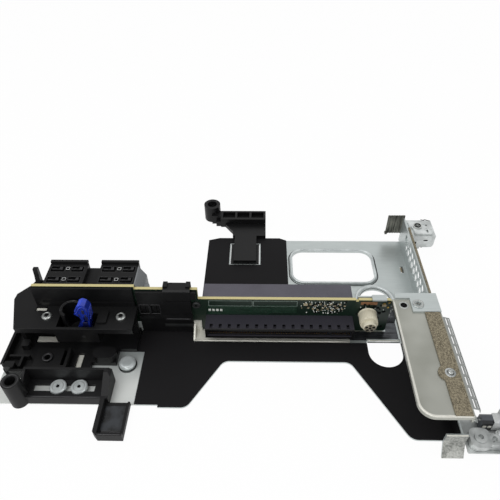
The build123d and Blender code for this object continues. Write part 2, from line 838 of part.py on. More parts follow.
# Cover over the middle of the board, with two windows, a bottom bar and a ledge
with BuildPart() as board_cover:
    cover_x = (shelf_right_x + seat_gap, foot_left_x - seat_gap)
    cover_top = board_top_2 - 1
    block(cover_x, (-cover_t, 0), (board_bottom_z, cover_top))
    block((cover_x[1], step_2_x - 1), (-cover_t, 0), (board_top_3 + 1.5, cover_top))
    for window_left_x in (cover_x[0] + 0.8, cover_x[0] + 7.4):
        block((window_left_x, window_left_x + cover_window_w), (-cover_t, -0.6), cover_window_z,
              Mode.SUBTRACT)
        block((window_left_x + 2.5, window_left_x + 3.1), (-1.4, -0.6), cover_window_z)
    block(cover_x, (-cover_t - 1.4, -cover_t), (cover_bar_z, cover_bar_z + 2.1))
    block((middle(*cover_x), cover_x[1]), (-cover_t - 2.6, -cover_t - 1.4),
          (cover_bar_z, cover_bar_z + 1.5))
    block((middle(*cover_x), cover_x[1]), (-cover_t - 0.5, -cover_t), (cover_bar_z + 4.5, board_top_3))
save(board_cover, "board_cover")

# Screw through the board's top left, and small parts soldered to its front
with BuildPart() as board_screw:
    with BuildSketch(across(0)) as board_screw_head:
        with Locations((step_2_x - 1.4, board_top_3 - 4.8)):
            Circle(2.6)
            RegularPolygon(1.1, 6, mode=Mode.SUBTRACT)
    extrude(amount=1.3)
    chamfer(board_screw.edges().group_by(Axis.Y)[0].sort_by(SortBy.LENGTH)[-1], length=0.4)
save(board_screw, "board_screw")

with BuildPart() as board_parts:
    with BuildSketch(across(0)) as small_parts:
        for column in range(8):
            column_x = -26.0 + 2.9 * column
            with Locations((column_x, 26.6 - 1.2 * (column % 2)),
                           (column_x - 1.3, 23.4 - 0.8 * (column % 3))):
                Rectangle(small_part_l, small_part_h)
        with Locations((-29, 26.4), (17.5, 26)):
            Rectangle(2 * small_part_l, 2 * small_part_h)
    extrude(amount=0.8)
save(board_parts, "board_parts")

# Shield in front of the board, above the shelf
with BuildPart() as board_shield:
    block((board_left_x, step_1_x - 1), (-1.5, 0), (shelf_z, board_top_1 - 0.6))
    block((board_left_x + 4, step_1_x - 1), (-2.1, -1.5), (shelf_z, shelf_z + 3.4))
save(board_shield, "board_shield")

# Upper moulding: a shelf on legs, with the lever's box, a pin collar and an ear behind the board
shelf_points = [
    (shelf_right_x, -seat_gap),
    (board_left_x - seat_gap, -seat_gap),
    (board_left_x - seat_gap, 19.5),
    (-197.5, 19.5),
    (-199.6, 14.7),
    (-205.7, 7.5),
    (-206.0, 3.0),
    (-198.4, shelf_front_y),
    (shelf_right_x, shelf_front_y),
]
with BuildPart() as upper_moulding:
    prism(Plane.XY.offset(shelf_under_z), shelf_points, shelf_t)
    # Skirt under the shelf's front and right edges
    block((-198, shelf_right_x), (shelf_front_y, shelf_front_y + box_wall),
          (shelf_under_z - shelf_skirt, shelf_under_z))
    block((shelf_right_x - box_wall, shelf_right_x), (shelf_front_y, -2),
          (shelf_under_z - shelf_skirt, shelf_under_z))
    # Box round the lever
    block((box_left_x - box_wall, box_right_x + box_wall), (shelf_front_y, box_rear_y + box_wall),
          (box_bottom_z, shelf_under_z))
    block((box_left_x, box_right_x), (shelf_front_y + box_wall, box_rear_y), (box_bottom_z, shelf_z),
          Mode.SUBTRACT)
    # Collar for a chassis pin, open at the front
    with BuildSketch(Plane.XY.offset(box_bottom_z)) as collar_outline:
        with Locations((collar_x, collar_y)):
            Circle(collar_r)
            Circle(collar_bore_r, mode=Mode.SUBTRACT)
            with Locations((4, -5)):
                Rectangle(12, 10.6, mode=Mode.SUBTRACT)
    extrude(amount=shelf_z + collar_h - box_bottom_z)
    disc((collar_x, collar_y), collar_bore_r, (box_bottom_z, shelf_z + collar_h), Mode.SUBTRACT)
    # Web inside the box
    prism(across(-15.5),
          [(-173.4, box_bottom_z), (-171.4, shelf_z - 4), (-169.8, shelf_z - 4), (-167, box_bottom_z)], 2.6)
    # Legs, and the pad beside the lever
    block((-203.5, -196), (5.5, 7.5), (plate_top, shelf_under_z))
    block((-199.5, -197.5), (-13.5, 7.5), (base_top, shelf_under_z))
    block((-134, shelf_right_x - box_wall), (-6, -3), (base_top, shelf_under_z))
    block((box_right_x + 0.8, -145.4), (-15.4, -6.4), (shelf_z, shelf_z + 1.2), corner=0.5)
    # Ear that rises behind the board's left end
    prism(Plane.YZ.offset(-196.6),
          [(15.5, shelf_z), (19.5, shelf_z), (20.2, shelf_z + 11), (18.0, shelf_z + 11),
                                    (17.2, shelf_z + 6)], 3)
    # Slot, screw holes and the lever pin's holes
    block((-190, -183.4), (-5.9, -2.7), (shelf_under_z, shelf_z), Mode.SUBTRACT)
    for screw_x in (shelf_screw_left_x, shelf_screw_right_x):
        disc((screw_x, shelf_screw_y), boss_r, (shelf_under_z - boss_l, shelf_under_z))
        disc((screw_x, shelf_screw_y), shelf_screw_r + run_gap, (shelf_under_z - boss_l, shelf_z),
             Mode.SUBTRACT)
    with BuildSketch(across(box_rear_y + box_wall)) as pin_holes:
        with Locations((lever_pin_x, lever_pin_z)):
            Circle(lever_pin_r)
    extrude(amount=box_rear_y + box_wall - shelf_front_y, mode=Mode.SUBTRACT)
save(upper_moulding, "upper_moulding")

# Blue release lever, hooked over the collar, on its pin
lever_rear_y = lever_front_y + lever_w
with BuildPart() as release_lever:
    lever_points = [
        (-163.6, 14.0),
        (-155.4, 14.0),
        (-154.6, 25.0),
        (-153.4, 32.0),
        (-152.6, 37.5),
        (-154.2, 40.8),
        (-156.5, 41.8),
        (-158.8, 40.5),
        (-161.8, 34.2),
        (-159.6, 32.0),
        (-158.2, 28.6),
        (-162.6, 21.5),
    ]
    prism(across(lever_rear_y), lever_points, lever_w, corner=0.55)
    prism(across(lever_front_y + 1.2),
          [(-161, 19.5), (-156.4, 19.5), (-155.6, 25), (-154.6, 31.5), (-157.0, 31.5),
                                        (-157.2, 27.5)], 1.2, Mode.SUBTRACT)
    with BuildSketch(across(lever_rear_y)) as lever_bore:
        with Locations((lever_pin_x, lever_pin_z)):
            Circle(lever_pin_r + run_gap)
    extrude(amount=lever_w, mode=Mode.SUBTRACT)
save(release_lever, "release_lever")

with BuildPart() as lever_pin:
    with BuildSketch(across(box_rear_y + box_wall)) as lever_pin_outline:
        with Locations((lever_pin_x, lever_pin_z)):
            Circle(lever_pin_r)
    extrude(amount=box_rear_y + box_wall - shelf_front_y)
save(lever_pin, "lever_pin")

# Lower moulding: a ribbed base plate in front of the board
with BuildPart() as lower_moulding:
    front_y = base_front_y
    low_x = base_left_x
    step_x = base_right_x - 14.5
    lobe_y = front_y + 9.3
    base_points = [
        (low_x, -0.8),
        (shelf_right_x - 1, -0.8),
        (shelf_right_x - 1, -17.5),
        (base_right_x, -17.5),
        (base_right_x, lobe_y),
        (step_x, lobe_y),
        (step_x, front_y),
        (low_x + 4, front_y),
        (low_x, front_y + 4),
    ]
    prism(Plane.XY.offset(plate_top), base_points, base_t)
    block((low_x, low_x + 1.5), (front_y + 4.8, front_y + 30.8), (base_top, base_wall_top))
    block((low_x + 6, step_x - 1.5), (front_y, front_y + 1.5), (base_top, base_wall_top - 1))
    # Square boss with a round hole, and the ribs round it
    boss_place = (low_x + 26, front_y + 9.4)
    block((low_x + 18.5, low_x + 34.5), (front_y + 2.8, front_y + 16.3), (base_top, base_top + 4),
          corner=1.0)
    disc(boss_place, 2 * base_hole_r, (base_top + 4, base_top + 4.8))
    disc(boss_place, base_hole_r, (base_top - 1, base_top + 4.8), Mode.SUBTRACT)
    block((low_x + 37, low_x + 38.6), (front_y + 2.3, front_y + 15.8), (base_top, base_wall_top))
    block((low_x + 29.5, low_x + 38.6), (front_y + 2.3, front_y + 3.8), (base_top + 2, base_wall_top))
    block((low_x + 2.5, low_x + 14.5), (front_y + 10.6, front_y + 12), (base_top, base_wall_top - 1.5))
    block((low_x + 9.9, low_x + 11.3), (front_y + 3.8, front_y + 10.6), (base_top, base_wall_top - 1.5))
    block((low_x + 2.5, low_x + 8.5), (front_y + 1.8, front_y + 5.8), (base_top, base_wall_top + 0.6),
          corner=0.8)
    block((step_x + 1, base_right_x), (lobe_y, lobe_y + 8), (base_top, base_wall_top), corner=3.6)
    block((low_x + 6.9, low_x + 11.5), (front_y + 17.8, front_y + 22.8), (base_top, base_top + 4),
          corner=0.8)
    # Slots down to the plate
    block((low_x + 41.7, low_x + 45.5), (front_y + 5.8, front_y + 15.8), (plate_top, base_top),
          Mode.SUBTRACT)
    block((low_x + 12.5, low_x + 27.9), (front_y + 23.6, front_y + 29.2), (plate_top, base_top),
          Mode.SUBTRACT)
save(lower_moulding, "lower_moulding")

# Screws that hold the shelf, and the two shoulder screws in the tray's slot
with BuildPart() as shelf_screws:
    for screw_x in (shelf_screw_left_x, shelf_screw_right_x):
        disc((screw_x, shelf_screw_y), shelf_screw_head_r, (shelf_z, shelf_z + 1.5))
    chamfer(shelf_screws.edges().group_by(Axis.Z)[-1], length=0.5)
    for screw_x in (shelf_screw_left_x, shelf_screw_right_x):
        disc((screw_x, shelf_screw_y), shelf_screw_r, (shelf_under_z - boss_l + 1, shelf_z))
        with BuildSketch(Plane.XY.offset(shelf_z + 1.5)) as drive:
            with Locations((screw_x, shelf_screw_y)):
                RegularPolygon(1.2, 6)
        extrude(amount=-0.9, mode=Mode.SUBTRACT)
save(shelf_screws, "shelf_screws")

with BuildPart() as tray_screws:
    for number in range(2):
        screw_place = (tray_screw_x + number * tray_screw_pitch, tray_slot_y)
        head_z = tray_floor_top + run_gap
        disc(screw_place, tray_screw_r, (plate_top, head_z))
        disc(screw_place, tray_screw_head_r, (head_z, head_z + 1.4))
        disc(screw_place, 0.9, (head_z + 0.6, head_z + 1.4), Mode.SUBTRACT)
    chamfer(tray_screws.edges().group_by(Axis.Z)[-1].filter_by(lambda e: e.length > 12), length=0.4)
save(tray_screws, "tray_screws")

# Button on the bare strip of the plate
with BuildPart() as plate_stud:
    disc((stud_x, stud_y), stud_r * 0.6, (plate_top, plate_top + stud_h - 1.6))
    disc((stud_x, stud_y), stud_r, (plate_top + stud_h - 1.6, plate_top + stud_h))
    chamfer(plate_stud.edges().group_by(Axis.Z)[-1], length=0.5)
save(plate_stud, "plate_stud")

# Sliding tray with its slot, guide post and pull tab
with BuildPart() as slide_tray:
    x_span = (tray_left_x, tray_right_x)
    block(x_span, (tray_front_y, tray_rear_y), (tray_z, tray_top))
    block((tray_left_x + tray_wall, tray_right_x - tray_rail),
          (tray_front_y + tray_wall, tray_rear_y - tray_wall),
          (tray_floor_top, tray_top), Mode.SUBTRACT)
    chamfer(slide_tray.edges().filter_by(Axis.Y).group_by(Axis.X)[-1].sort_by(Axis.Z)[-1], length=1.6,
            length2=1.2)
    # The side walls slope down to the low front wall
    prism(Plane.YZ.offset(tray_left_x), [
        (tray_front_y - 1, tray_z + tray_front_h),
        (tray_front_y + tray_wall, tray_z + tray_front_h),
        (tray_rear_y - 2 * tray_wall, tray_top),
        (tray_front_y - 1, tray_top),
    ], tray_right_x - tray_left_x, Mode.SUBTRACT)
    # Tab: a floor, a left wall in line with the rail, a front lip and a low right lip
    tab_corner = [(tab_left_x, tab_front_y + 2.4), (tab_left_x + 2.4, tab_front_y)]
    prism(Plane.XY.offset(tray_z), [
        (tab_left_x, tray_front_y),
        *tab_corner,
        (tab_right_x, tab_front_y),
        (tab_right_x, tray_front_y),
    ], tray_floor)
    prism(Plane.XY.offset(tray_z), [
        *tab_corner,
        (tab_right_x, tab_front_y),
        (tab_right_x, tab_front_y + 1.5),
        (tab_left_x + 2.4, tab_front_y + 1.5),
        (tab_left_x + 2.4, tab_front_y + 2.4),
    ], tab_lip_h)
    prism(Plane.YZ.offset(tab_left_x), [
        (tab_front_y + 2.4, tray_z),
        (tray_front_y, tray_z),
        (tray_front_y, tray_z + tray_front_h),
        (tab_front_y + 2.4, tray_z + tab_lip_h),
    ], 2.4)
    block((tab_right_x - 1.2, tab_right_x), (tab_front_y, tray_front_y),
          (tray_floor_top, tray_floor_top + 1.2))
    # Guide post at the front left
    disc((guide_post_x, guide_post_y), guide_post_r, (tray_z, tray_z + guide_post_h))
    # Slot for the shoulder screws, with the ribs on each side of it
    block((tray_slot_left_x + 3, tray_slot_right_x),
          (tray_slot_y - tray_slot_w / 2, tray_slot_y + tray_slot_w / 2),
          (tray_z, tray_floor_top), Mode.SUBTRACT)
    block((guide_post_x, tray_right_x - tray_rail),
          (tray_front_y + tray_wall, tray_front_y + tray_wall + 1.0),
          (tray_floor_top, tray_z + tray_front_h - 1.5))
    disc((guide_post_x, guide_post_y), guide_bore_r, (tray_z, tray_z + guide_post_h), Mode.SUBTRACT)
save(slide_tray, "slide_tray")

# Rear guide arm, set into the plate's cut-out and standing past its rear edge
with BuildPart() as rear_arm:
    arm_top = film_top + arm_t
    block((arm_cut_left_x + seat_gap, arm_cut_right_x - seat_gap),
          (arm_cut_front_y + seat_gap, arm_cut_rear_y - seat_gap),
          (slide_gap, film_top))
    block((arm_neck_left_x, arm_neck_right_x), (arm_cut_front_y + seat_gap, bump_y), (film_top, arm_top))
    prism(Plane.XY.offset(film_top), [
        (arm_neck_left_x - 1.6, bump_y - 0.6),
        (arm_right_x, bump_y - 0.6),
        (arm_right_x, arm_bar_rear_y),
        (arm_bar_left_x, arm_bar_rear_y),
        (arm_bar_left_x, arm_bar_front_y),
        (arm_bar_left_x + 3.4, arm_bar_front_y),
        (arm_neck_left_x - 1.6, bump_y + 4),
    ], arm_t)
    block((arm_bar_left_x, arm_right_x), (arm_bar_front_y, arm_bar_rear_y), (arm_top, film_top + arm_bar_h))
    pocket_x = (arm_right_x - arm_bar_left_x - 1.6) / 3
    for number in range(3):
        pocket_left = arm_bar_left_x + 1.6 + number * pocket_x
        block((pocket_left, pocket_left + pocket_x - 1.6), (arm_bar_front_y + 2.2, arm_bar_rear_y - 1.6),
              (film_top + 4.6, film_top + arm_bar_h), Mode.SUBTRACT)
    # Step and hollow guide post at the bar's left end
    block((arm_bar_left_x - 3.6, arm_bar_left_x), (arm_bar_front_y + 1, arm_bar_front_y + 5),
          (film_top, film_top + 4.4))
    block((arm_post_x, arm_bar_left_x), (arm_bar_front_y + 4, arm_bar_rear_y),
          (film_top, film_top + arm_bar_h))
    disc((arm_post_x, arm_post_y), arm_post_r, (film_top, film_top + arm_post_h))
    disc((arm_post_x, arm_post_y), arm_bore_r, (film_top, film_top + arm_post_h), Mode.SUBTRACT)
save(rear_arm, "rear_arm")

# Dark corrugated clip on the wall's rear end
with BuildPart() as rear_end_clip:
    ripple = [(wall_x - 11 + 0.9 * step, 0.35 * (step % 2)) for step in range(13)]
    outer = [(x, wall_rear_y + y) for x, y in ripple]
    inner = [(x, wall_rear_y + 0.8 + y) for x, y in reversed(ripple)]
    prism(Plane.XY.offset(8), [*outer, *inner], 16)
    block((wall_x - 0.4, wall_out_x), (wall_rear_y, wall_rear_y + 1.1), (8, 24))
    block((wall_x - 11.6, wall_x - 10), (wall_rear_y - 1.4, wall_rear_y + 0.9), (8, 9.4))
save(rear_end_clip, "rear_end_clip")

# Rear retainer: a ledge outside the wall, a plate that swings on a hollow rivet
with BuildPart() as rear_ledge:
    block((wall_out_x, wall_out_x + rear_ledge_w), (rear_ledge_front_y, rear_ledge_rear_y),
          (rear_ledge_z - ledge_t, rear_ledge_z),
          corner=0.5)
    block((wall_out_x, wall_out_x + ledge_t), (rear_ledge_front_y, rear_ledge_rear_y - 4),
          (10, rear_ledge_z - ledge_t))
    block((wall_out_x, wall_out_x + rear_ledge_w - 2), (rear_ledge_front_y + 0.2, rear_ledge_front_y + 1.2),
          (rear_ledge_z - 9.5, rear_ledge_z - ledge_t))
    for foot_x in (wall_out_x + 3, wall_out_x + 6.5):
        block((foot_x, foot_x + 1.8), (rear_ledge_front_y + 0.2, rear_ledge_front_y + 1.2),
              (rear_ledge_z - 11.5, rear_ledge_z - 9.5))
    disc((rear_pivot_x, rear_pivot_y), pivot_r, (rear_ledge_z - ledge_t, rear_ledge_z), Mode.SUBTRACT)
save(rear_ledge, "rear_ledge")

with BuildPart() as rear_retainer:
    retainer_points = [
        (rear_pivot_x - 3.2, rear_ledge_front_y + 1.6),
        (wall_out_x + rear_ledge_w - 2.2, rear_ledge_front_y + 1.6),
        (wall_out_x + rear_ledge_w - 0.6, rear_pivot_y - 2),
        (wall_out_x + rear_ledge_w - 2.6, rear_ledge_rear_y - 3.4),
        (rear_pivot_x + 2.4, rear_pivot_y + 4.4),
        (rear_pivot_x - 3.2, rear_pivot_y),
    ]
    prism(Plane.XY.offset(retainer_z), retainer_points, retainer_t, corner=1.0)
    disc((rear_pivot_x, rear_pivot_y), knuckle_r - 1, (retainer_z, retainer_z + retainer_t))
    disc((rear_pivot_x, rear_pivot_y), pivot_r + run_gap, (retainer_z, retainer_z + retainer_t),
         Mode.SUBTRACT)
    disc((rear_pivot_x + 6.4, rear_pivot_y + 1.2), 0.8, (retainer_z, retainer_z + retainer_t),
         Mode.SUBTRACT)
    with BuildSketch(Plane.XY.offset(retainer_z)) as retainer_slot:
        with Locations((rear_pivot_x + 5.8, rear_pivot_y - 4.6)):
            SlotOverall(4.4, 1.4, rotation=90)
    extrude(amount=retainer_t, mode=Mode.SUBTRACT)
save(rear_retainer, "rear_retainer")


def pivot_rivet(centre, bottom_z, top_z, head_z):
    # A hollow rivet: shank, spread head with a rounded rim, and the hole down its middle
    disc(centre, pivot_r, (bottom_z, head_z))
    disc(centre, pivot_r + 1.1, (head_z, top_z))
    disc(centre, pivot_r - 0.7, (bottom_z, top_z), Mode.SUBTRACT)


with BuildPart() as rear_rivet:
    rear_head_z = retainer_z + retainer_t + slide_gap
    pivot_rivet((rear_pivot_x, rear_pivot_y), rear_ledge_z - ledge_t, rear_head_z + 0.6, rear_head_z)
save(rear_rivet, "rear_rivet")

# Front retainer: a ledge low outside the wall, a cast arm on a rivet, a spring block and a catch
cast_z = front_ledge_z + slide_gap
with BuildPart() as front_ledge:
    block((wall_out_x, wall_out_x + front_ledge_w), (front_ledge_front_y, front_ledge_rear_y),
          (front_ledge_z - ledge_t, front_ledge_z), corner=0.5)
    block((wall_out_x, wall_out_x + ledge_t), (wall_front_y + 0.5, front_ledge_rear_y - 1),
          (2, front_ledge_z - ledge_t))
    disc((front_pivot_x, front_pivot_y), pivot_r, (front_ledge_z - ledge_t, front_ledge_z), Mode.SUBTRACT)
save(front_ledge, "front_ledge")

with BuildPart() as front_retainer:
    knuckle = (front_pivot_x - knuckle_r, front_pivot_x + knuckle_r)
    arm_end_x = wall_out_x + front_ledge_w - 0.6
    block(knuckle, (front_pivot_y - knuckle_r, front_pivot_y + knuckle_r), (cast_z, cast_z + cast_t),
          corner=3.6)
    block((front_pivot_x, arm_end_x - 2), (front_pivot_y - 4.6, front_pivot_y + 3.4),
          (cast_z, cast_z + cast_t - 1.6))
    block((arm_end_x - 7.6, arm_end_x), (front_pivot_y - knuckle_r, front_pivot_y + 4.4),
          (cast_z, cast_z + cast_t - 0.4),
          corner=2.2)
    with BuildSketch(Plane.XY.offset(cast_z + cast_t - 1.6)) as hook_outline:
        with Locations((front_pivot_x + 7.2, front_pivot_y - 0.4)):
            Circle(2.5)
            Circle(1.3, mode=Mode.SUBTRACT)
            with Locations((-2.4, -1.6)):
                Rectangle(3, 3, mode=Mode.SUBTRACT)
    extrude(amount=1.4)
    disc((front_pivot_x, front_pivot_y), pivot_r + run_gap, (cast_z, cast_z + cast_t), Mode.SUBTRACT)
save(front_retainer, "front_retainer")

with BuildPart() as front_rivet:
    front_head_z = cast_z + cast_t + slide_gap
    pivot_rivet((front_pivot_x, front_pivot_y), front_ledge_z - ledge_t, front_head_z + 0.6, front_head_z)
save(front_rivet, "front_rivet")

spring_x = (front_pivot_x + 2.0, front_pivot_x + 11.4)
with BuildPart() as spring_block:
    block(spring_x, (-70.0, -64.6), (front_ledge_z, front_ledge_z + 8))
    chamfer(spring_block.edges().filter_by(Axis.X).group_by(Axis.Z)[-1], length=1.2)
    with BuildSketch(Plane.XZ.offset(70.0)) as spring_holes:
        with Locations((spring_x[0] + 3, front_ledge_z + 3.6), (spring_x[1] - 3, front_ledge_z + 3.6)):
            Circle(1.3)
    extrude(amount=-3, mode=Mode.SUBTRACT)
save(spring_block, "spring_block")

with BuildPart() as spring_wire:
    with BuildLine() as wire_path:
        Polyline(
            (spring_x[0], -67.4, front_ledge_z + 6),
            (spring_x[0] - 1.0, -67.4, front_ledge_z + 6),
            (spring_x[0] - 3.4, -68.6, front_ledge_z + 6.5),
            (spring_x[0] - 4.8, -72.0, front_ledge_z + 12),
            (wall_out_x + 0.7, -73.0, flange_z - 1.0),
        )
    with BuildSketch(Plane(origin=wire_path.line @ 0, z_dir=wire_path.line % 0)):
        Circle(0.45)
    sweep(transition=Transition.RIGHT)
save(spring_wire, "spring_wire")

with BuildPart() as front_catch:
    catch_x = (spring_x[1] + 0.4, wall_out_x + front_ledge_w - 0.4)
    block(catch_x, (-69.6, -63), (front_ledge_z, front_ledge_z + 10), corner=0.6)
save(front_catch, "front_catch")
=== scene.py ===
"""Server riser: finishes, small detail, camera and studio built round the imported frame.

The frame's own axes: +X towards the slot wall, +Y towards the rear, +Z up. Meshes, the camera and the lamps are in
metres; the classes of detail hold their sizes in millimetres.
"""

from __future__ import annotations

import json
import logging
import math
from dataclasses import dataclass, field
from enum import Enum
from typing import Sequence

import bpy
import numpy as np
from mathutils import Matrix, Vector

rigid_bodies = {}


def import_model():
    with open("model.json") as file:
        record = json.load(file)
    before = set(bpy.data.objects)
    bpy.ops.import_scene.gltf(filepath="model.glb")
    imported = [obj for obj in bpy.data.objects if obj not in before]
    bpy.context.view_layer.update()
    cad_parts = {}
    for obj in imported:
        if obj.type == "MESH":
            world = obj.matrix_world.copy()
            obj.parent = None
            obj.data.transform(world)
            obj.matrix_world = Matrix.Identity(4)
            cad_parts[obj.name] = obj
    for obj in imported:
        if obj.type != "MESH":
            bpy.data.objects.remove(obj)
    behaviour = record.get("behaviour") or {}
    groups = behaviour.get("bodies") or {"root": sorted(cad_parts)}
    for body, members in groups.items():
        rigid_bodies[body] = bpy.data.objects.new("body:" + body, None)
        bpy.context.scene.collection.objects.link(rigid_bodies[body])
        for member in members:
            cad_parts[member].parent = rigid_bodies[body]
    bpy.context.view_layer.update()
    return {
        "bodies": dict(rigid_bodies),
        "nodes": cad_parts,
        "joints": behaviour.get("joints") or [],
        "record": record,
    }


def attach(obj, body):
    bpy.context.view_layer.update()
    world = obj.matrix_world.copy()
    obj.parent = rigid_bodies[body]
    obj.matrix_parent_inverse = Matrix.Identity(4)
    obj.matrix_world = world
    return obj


LOG = logging.getLogger("riser")
MM = 0.001
Colour = tuple[float, float, float, float]
Point = tuple[float, float, float]
Profile = tuple[tuple[float, float], ...]
Area = tuple[float, float, float, float, float]
UP: Point = (0.0, 0.0, 1.0)
FORWARD: Point = (0.0, -1.0, 0.0)
REARWARD: Point = (0.0, 1.0, 0.0)

# A soldered part: how far its middle stands out, half its height, and its depth as a share of its width
CHIP_LIFT = 0.24
CHIP_HALF_HEIGHT = 0.25
CHIP_SQUAT = 0.75

# Where a finish's patterns begin and end
STREAK_SHARE = 0.06
LEAST_ROUGHNESS = 0.02
BUMP_STRENGTH = 0.7
GRAIN_SUM = (0.75, 1.25)
PATCHES = (0.35, 0.65)
THREADS = (0.2, 0.8)
BOARD_EDGE_TURN = 0.5
FRONT_TURN = -0.4

# The lever's painted light: the way that it faces, how far it turns, the heights that it rises between, and its least
SKY: Point = (-0.55, -0.25, 0.8)
SKY_TURN = 0.95
SKY_RISE_Z = (0.022, 0.040)
SKY_LEAST = 0.12
SKY_EVERYWHERE = 0.08

# The plate's painted light at its front left: its right side, where it fades towards the mouldings, and how metallic
# it looks
LIT_END_RIGHT_X = -0.125
LIT_END_FADE_Y = (-0.040, -0.018)
LIT_END_METALLIC = 0.28


# ---- Colour and node helpers


def linear(hex_code: str) -> Colour:
    """Turn an sRGB hex colour into the linear colour that a shader takes.

    Args:
        hex_code: six hex digits with or without a leading hash.

    Returns:
        Linear red, green, blue and an alpha of 1.
    """
    digits = hex_code.lstrip("#")
    parts = [int(digits[i : i + 2], 16) / 255 for i in (0, 2, 4)]
    wide = [p / 12.92 if p <= 0.04045 else ((p + 0.055) / 1.055) ** 2.4 for p in parts]
    return (wide[0], wide[1], wide[2], 1.0)


def add_node(
    tree: bpy.types.NodeTree,
    kind: str,
    settings: dict[str, object] | None = None,
    inputs: dict[str | int, object] | None = None,
) -> bpy.types.Node:
    """Add one node with its settings, socket values and incoming links.

    Args:
        tree: the node tree that takes the node.
        kind: the node's Blender type name.
        settings: attributes of the node itself.
        inputs: socket name or number to a value, or to another node's output socket to link from.

    Returns:
        The new node.
    """
    node = tree.nodes.new(kind)
    for key, value in (settings or {}).items():
        setattr(node, key, value)
    for key, value in (inputs or {}).items():
        socket = node.inputs[key]
        if isinstance(value, bpy.types.NodeSocket):
            tree.links.new(value, socket)
        else:
            socket.default_value = value
    return node


def blank_tree(owner: bpy.types.Material | bpy.types.World) -> bpy.types.NodeTree:
    """Turn a material's or a world's nodes on and clear them.

    Args:
        owner: the material or world.

    Returns:
        Its empty node tree.
    """
    owner.use_nodes = True
    owner.node_tree.nodes.clear()
    return owner.node_tree


def calculate(tree: bpy.types.NodeTree, operation: str, *values: object) -> bpy.types.NodeSocket:
    """Add a Math node.

    Args:
        tree: the node tree that takes it.
        operation: the node's operation.
        values: numbers or sockets, in the node's own order.

    Returns:
        Its result.
    """
    return add_node(tree, "ShaderNodeMath", {"operation": operation}, dict(enumerate(values))).outputs[0]


def remap(
    tree: bpy.types.NodeTree,
    value: bpy.types.NodeSocket,
    reach: tuple[float, float] = (0.0, 1.0),
    low: float = 0.0,
    high: float = 1.0,
) -> bpy.types.NodeSocket:
    """Add a Map Range node.

    Args:
        tree: the node tree that takes it.
        value: the socket to remap.
        reach: the values that become low and high.
        low: the result at the reach's start.
        high: the result at its end.

    Returns:
        Its result, held between low and high.
    """
    limits = {"Value": value, "From Min": reach[0], "From Max": reach[1], "To Min": low, "To Max": high}
    return add_node(tree, "ShaderNodeMapRange", inputs=limits).outputs[0]


def blend(
    tree: bpy.types.NodeTree, factor: bpy.types.NodeSocket, first: bpy.types.NodeSocket | Colour, second: Colour
) -> bpy.types.NodeSocket:
    """Mix two colours.

    Args:
        tree: the node tree that takes the node.
        factor: 0 for the first colour and 1 for the second.
        first: a colour, or a socket that gives one.
        second: a colour.

    Returns:
        The mixed colour.
    """
    return add_node(tree, "ShaderNodeMix", {"data_type": "RGBA"}, {0: factor, 6: first, 7: second}).outputs[2]


class Pattern(Enum):
    """How a finish's colour varies over its surface."""

    GRAIN = "fine moulded or blasted grain"
    BRUSHED = "streaks along X left by rolling"
    SPECKLE = "two-tone threads of conductive cloth"
    UPRIGHT = "streaks along Z left by corrugating rolls"
    # Painted shade: faces turned to the front take the darker second colour
    SHADED_FRONT = "faces turned to the front take the second, darker shade"
    BOARD = "solder mask on the faces and bare laminate on the edges"
    # Painted light: faces turned up take the lighter second colour
    SKYWARD = "faces turned up catch the second shade, more so towards the top"
    CLOUDY = "soft slow patches with no grain in the colour"


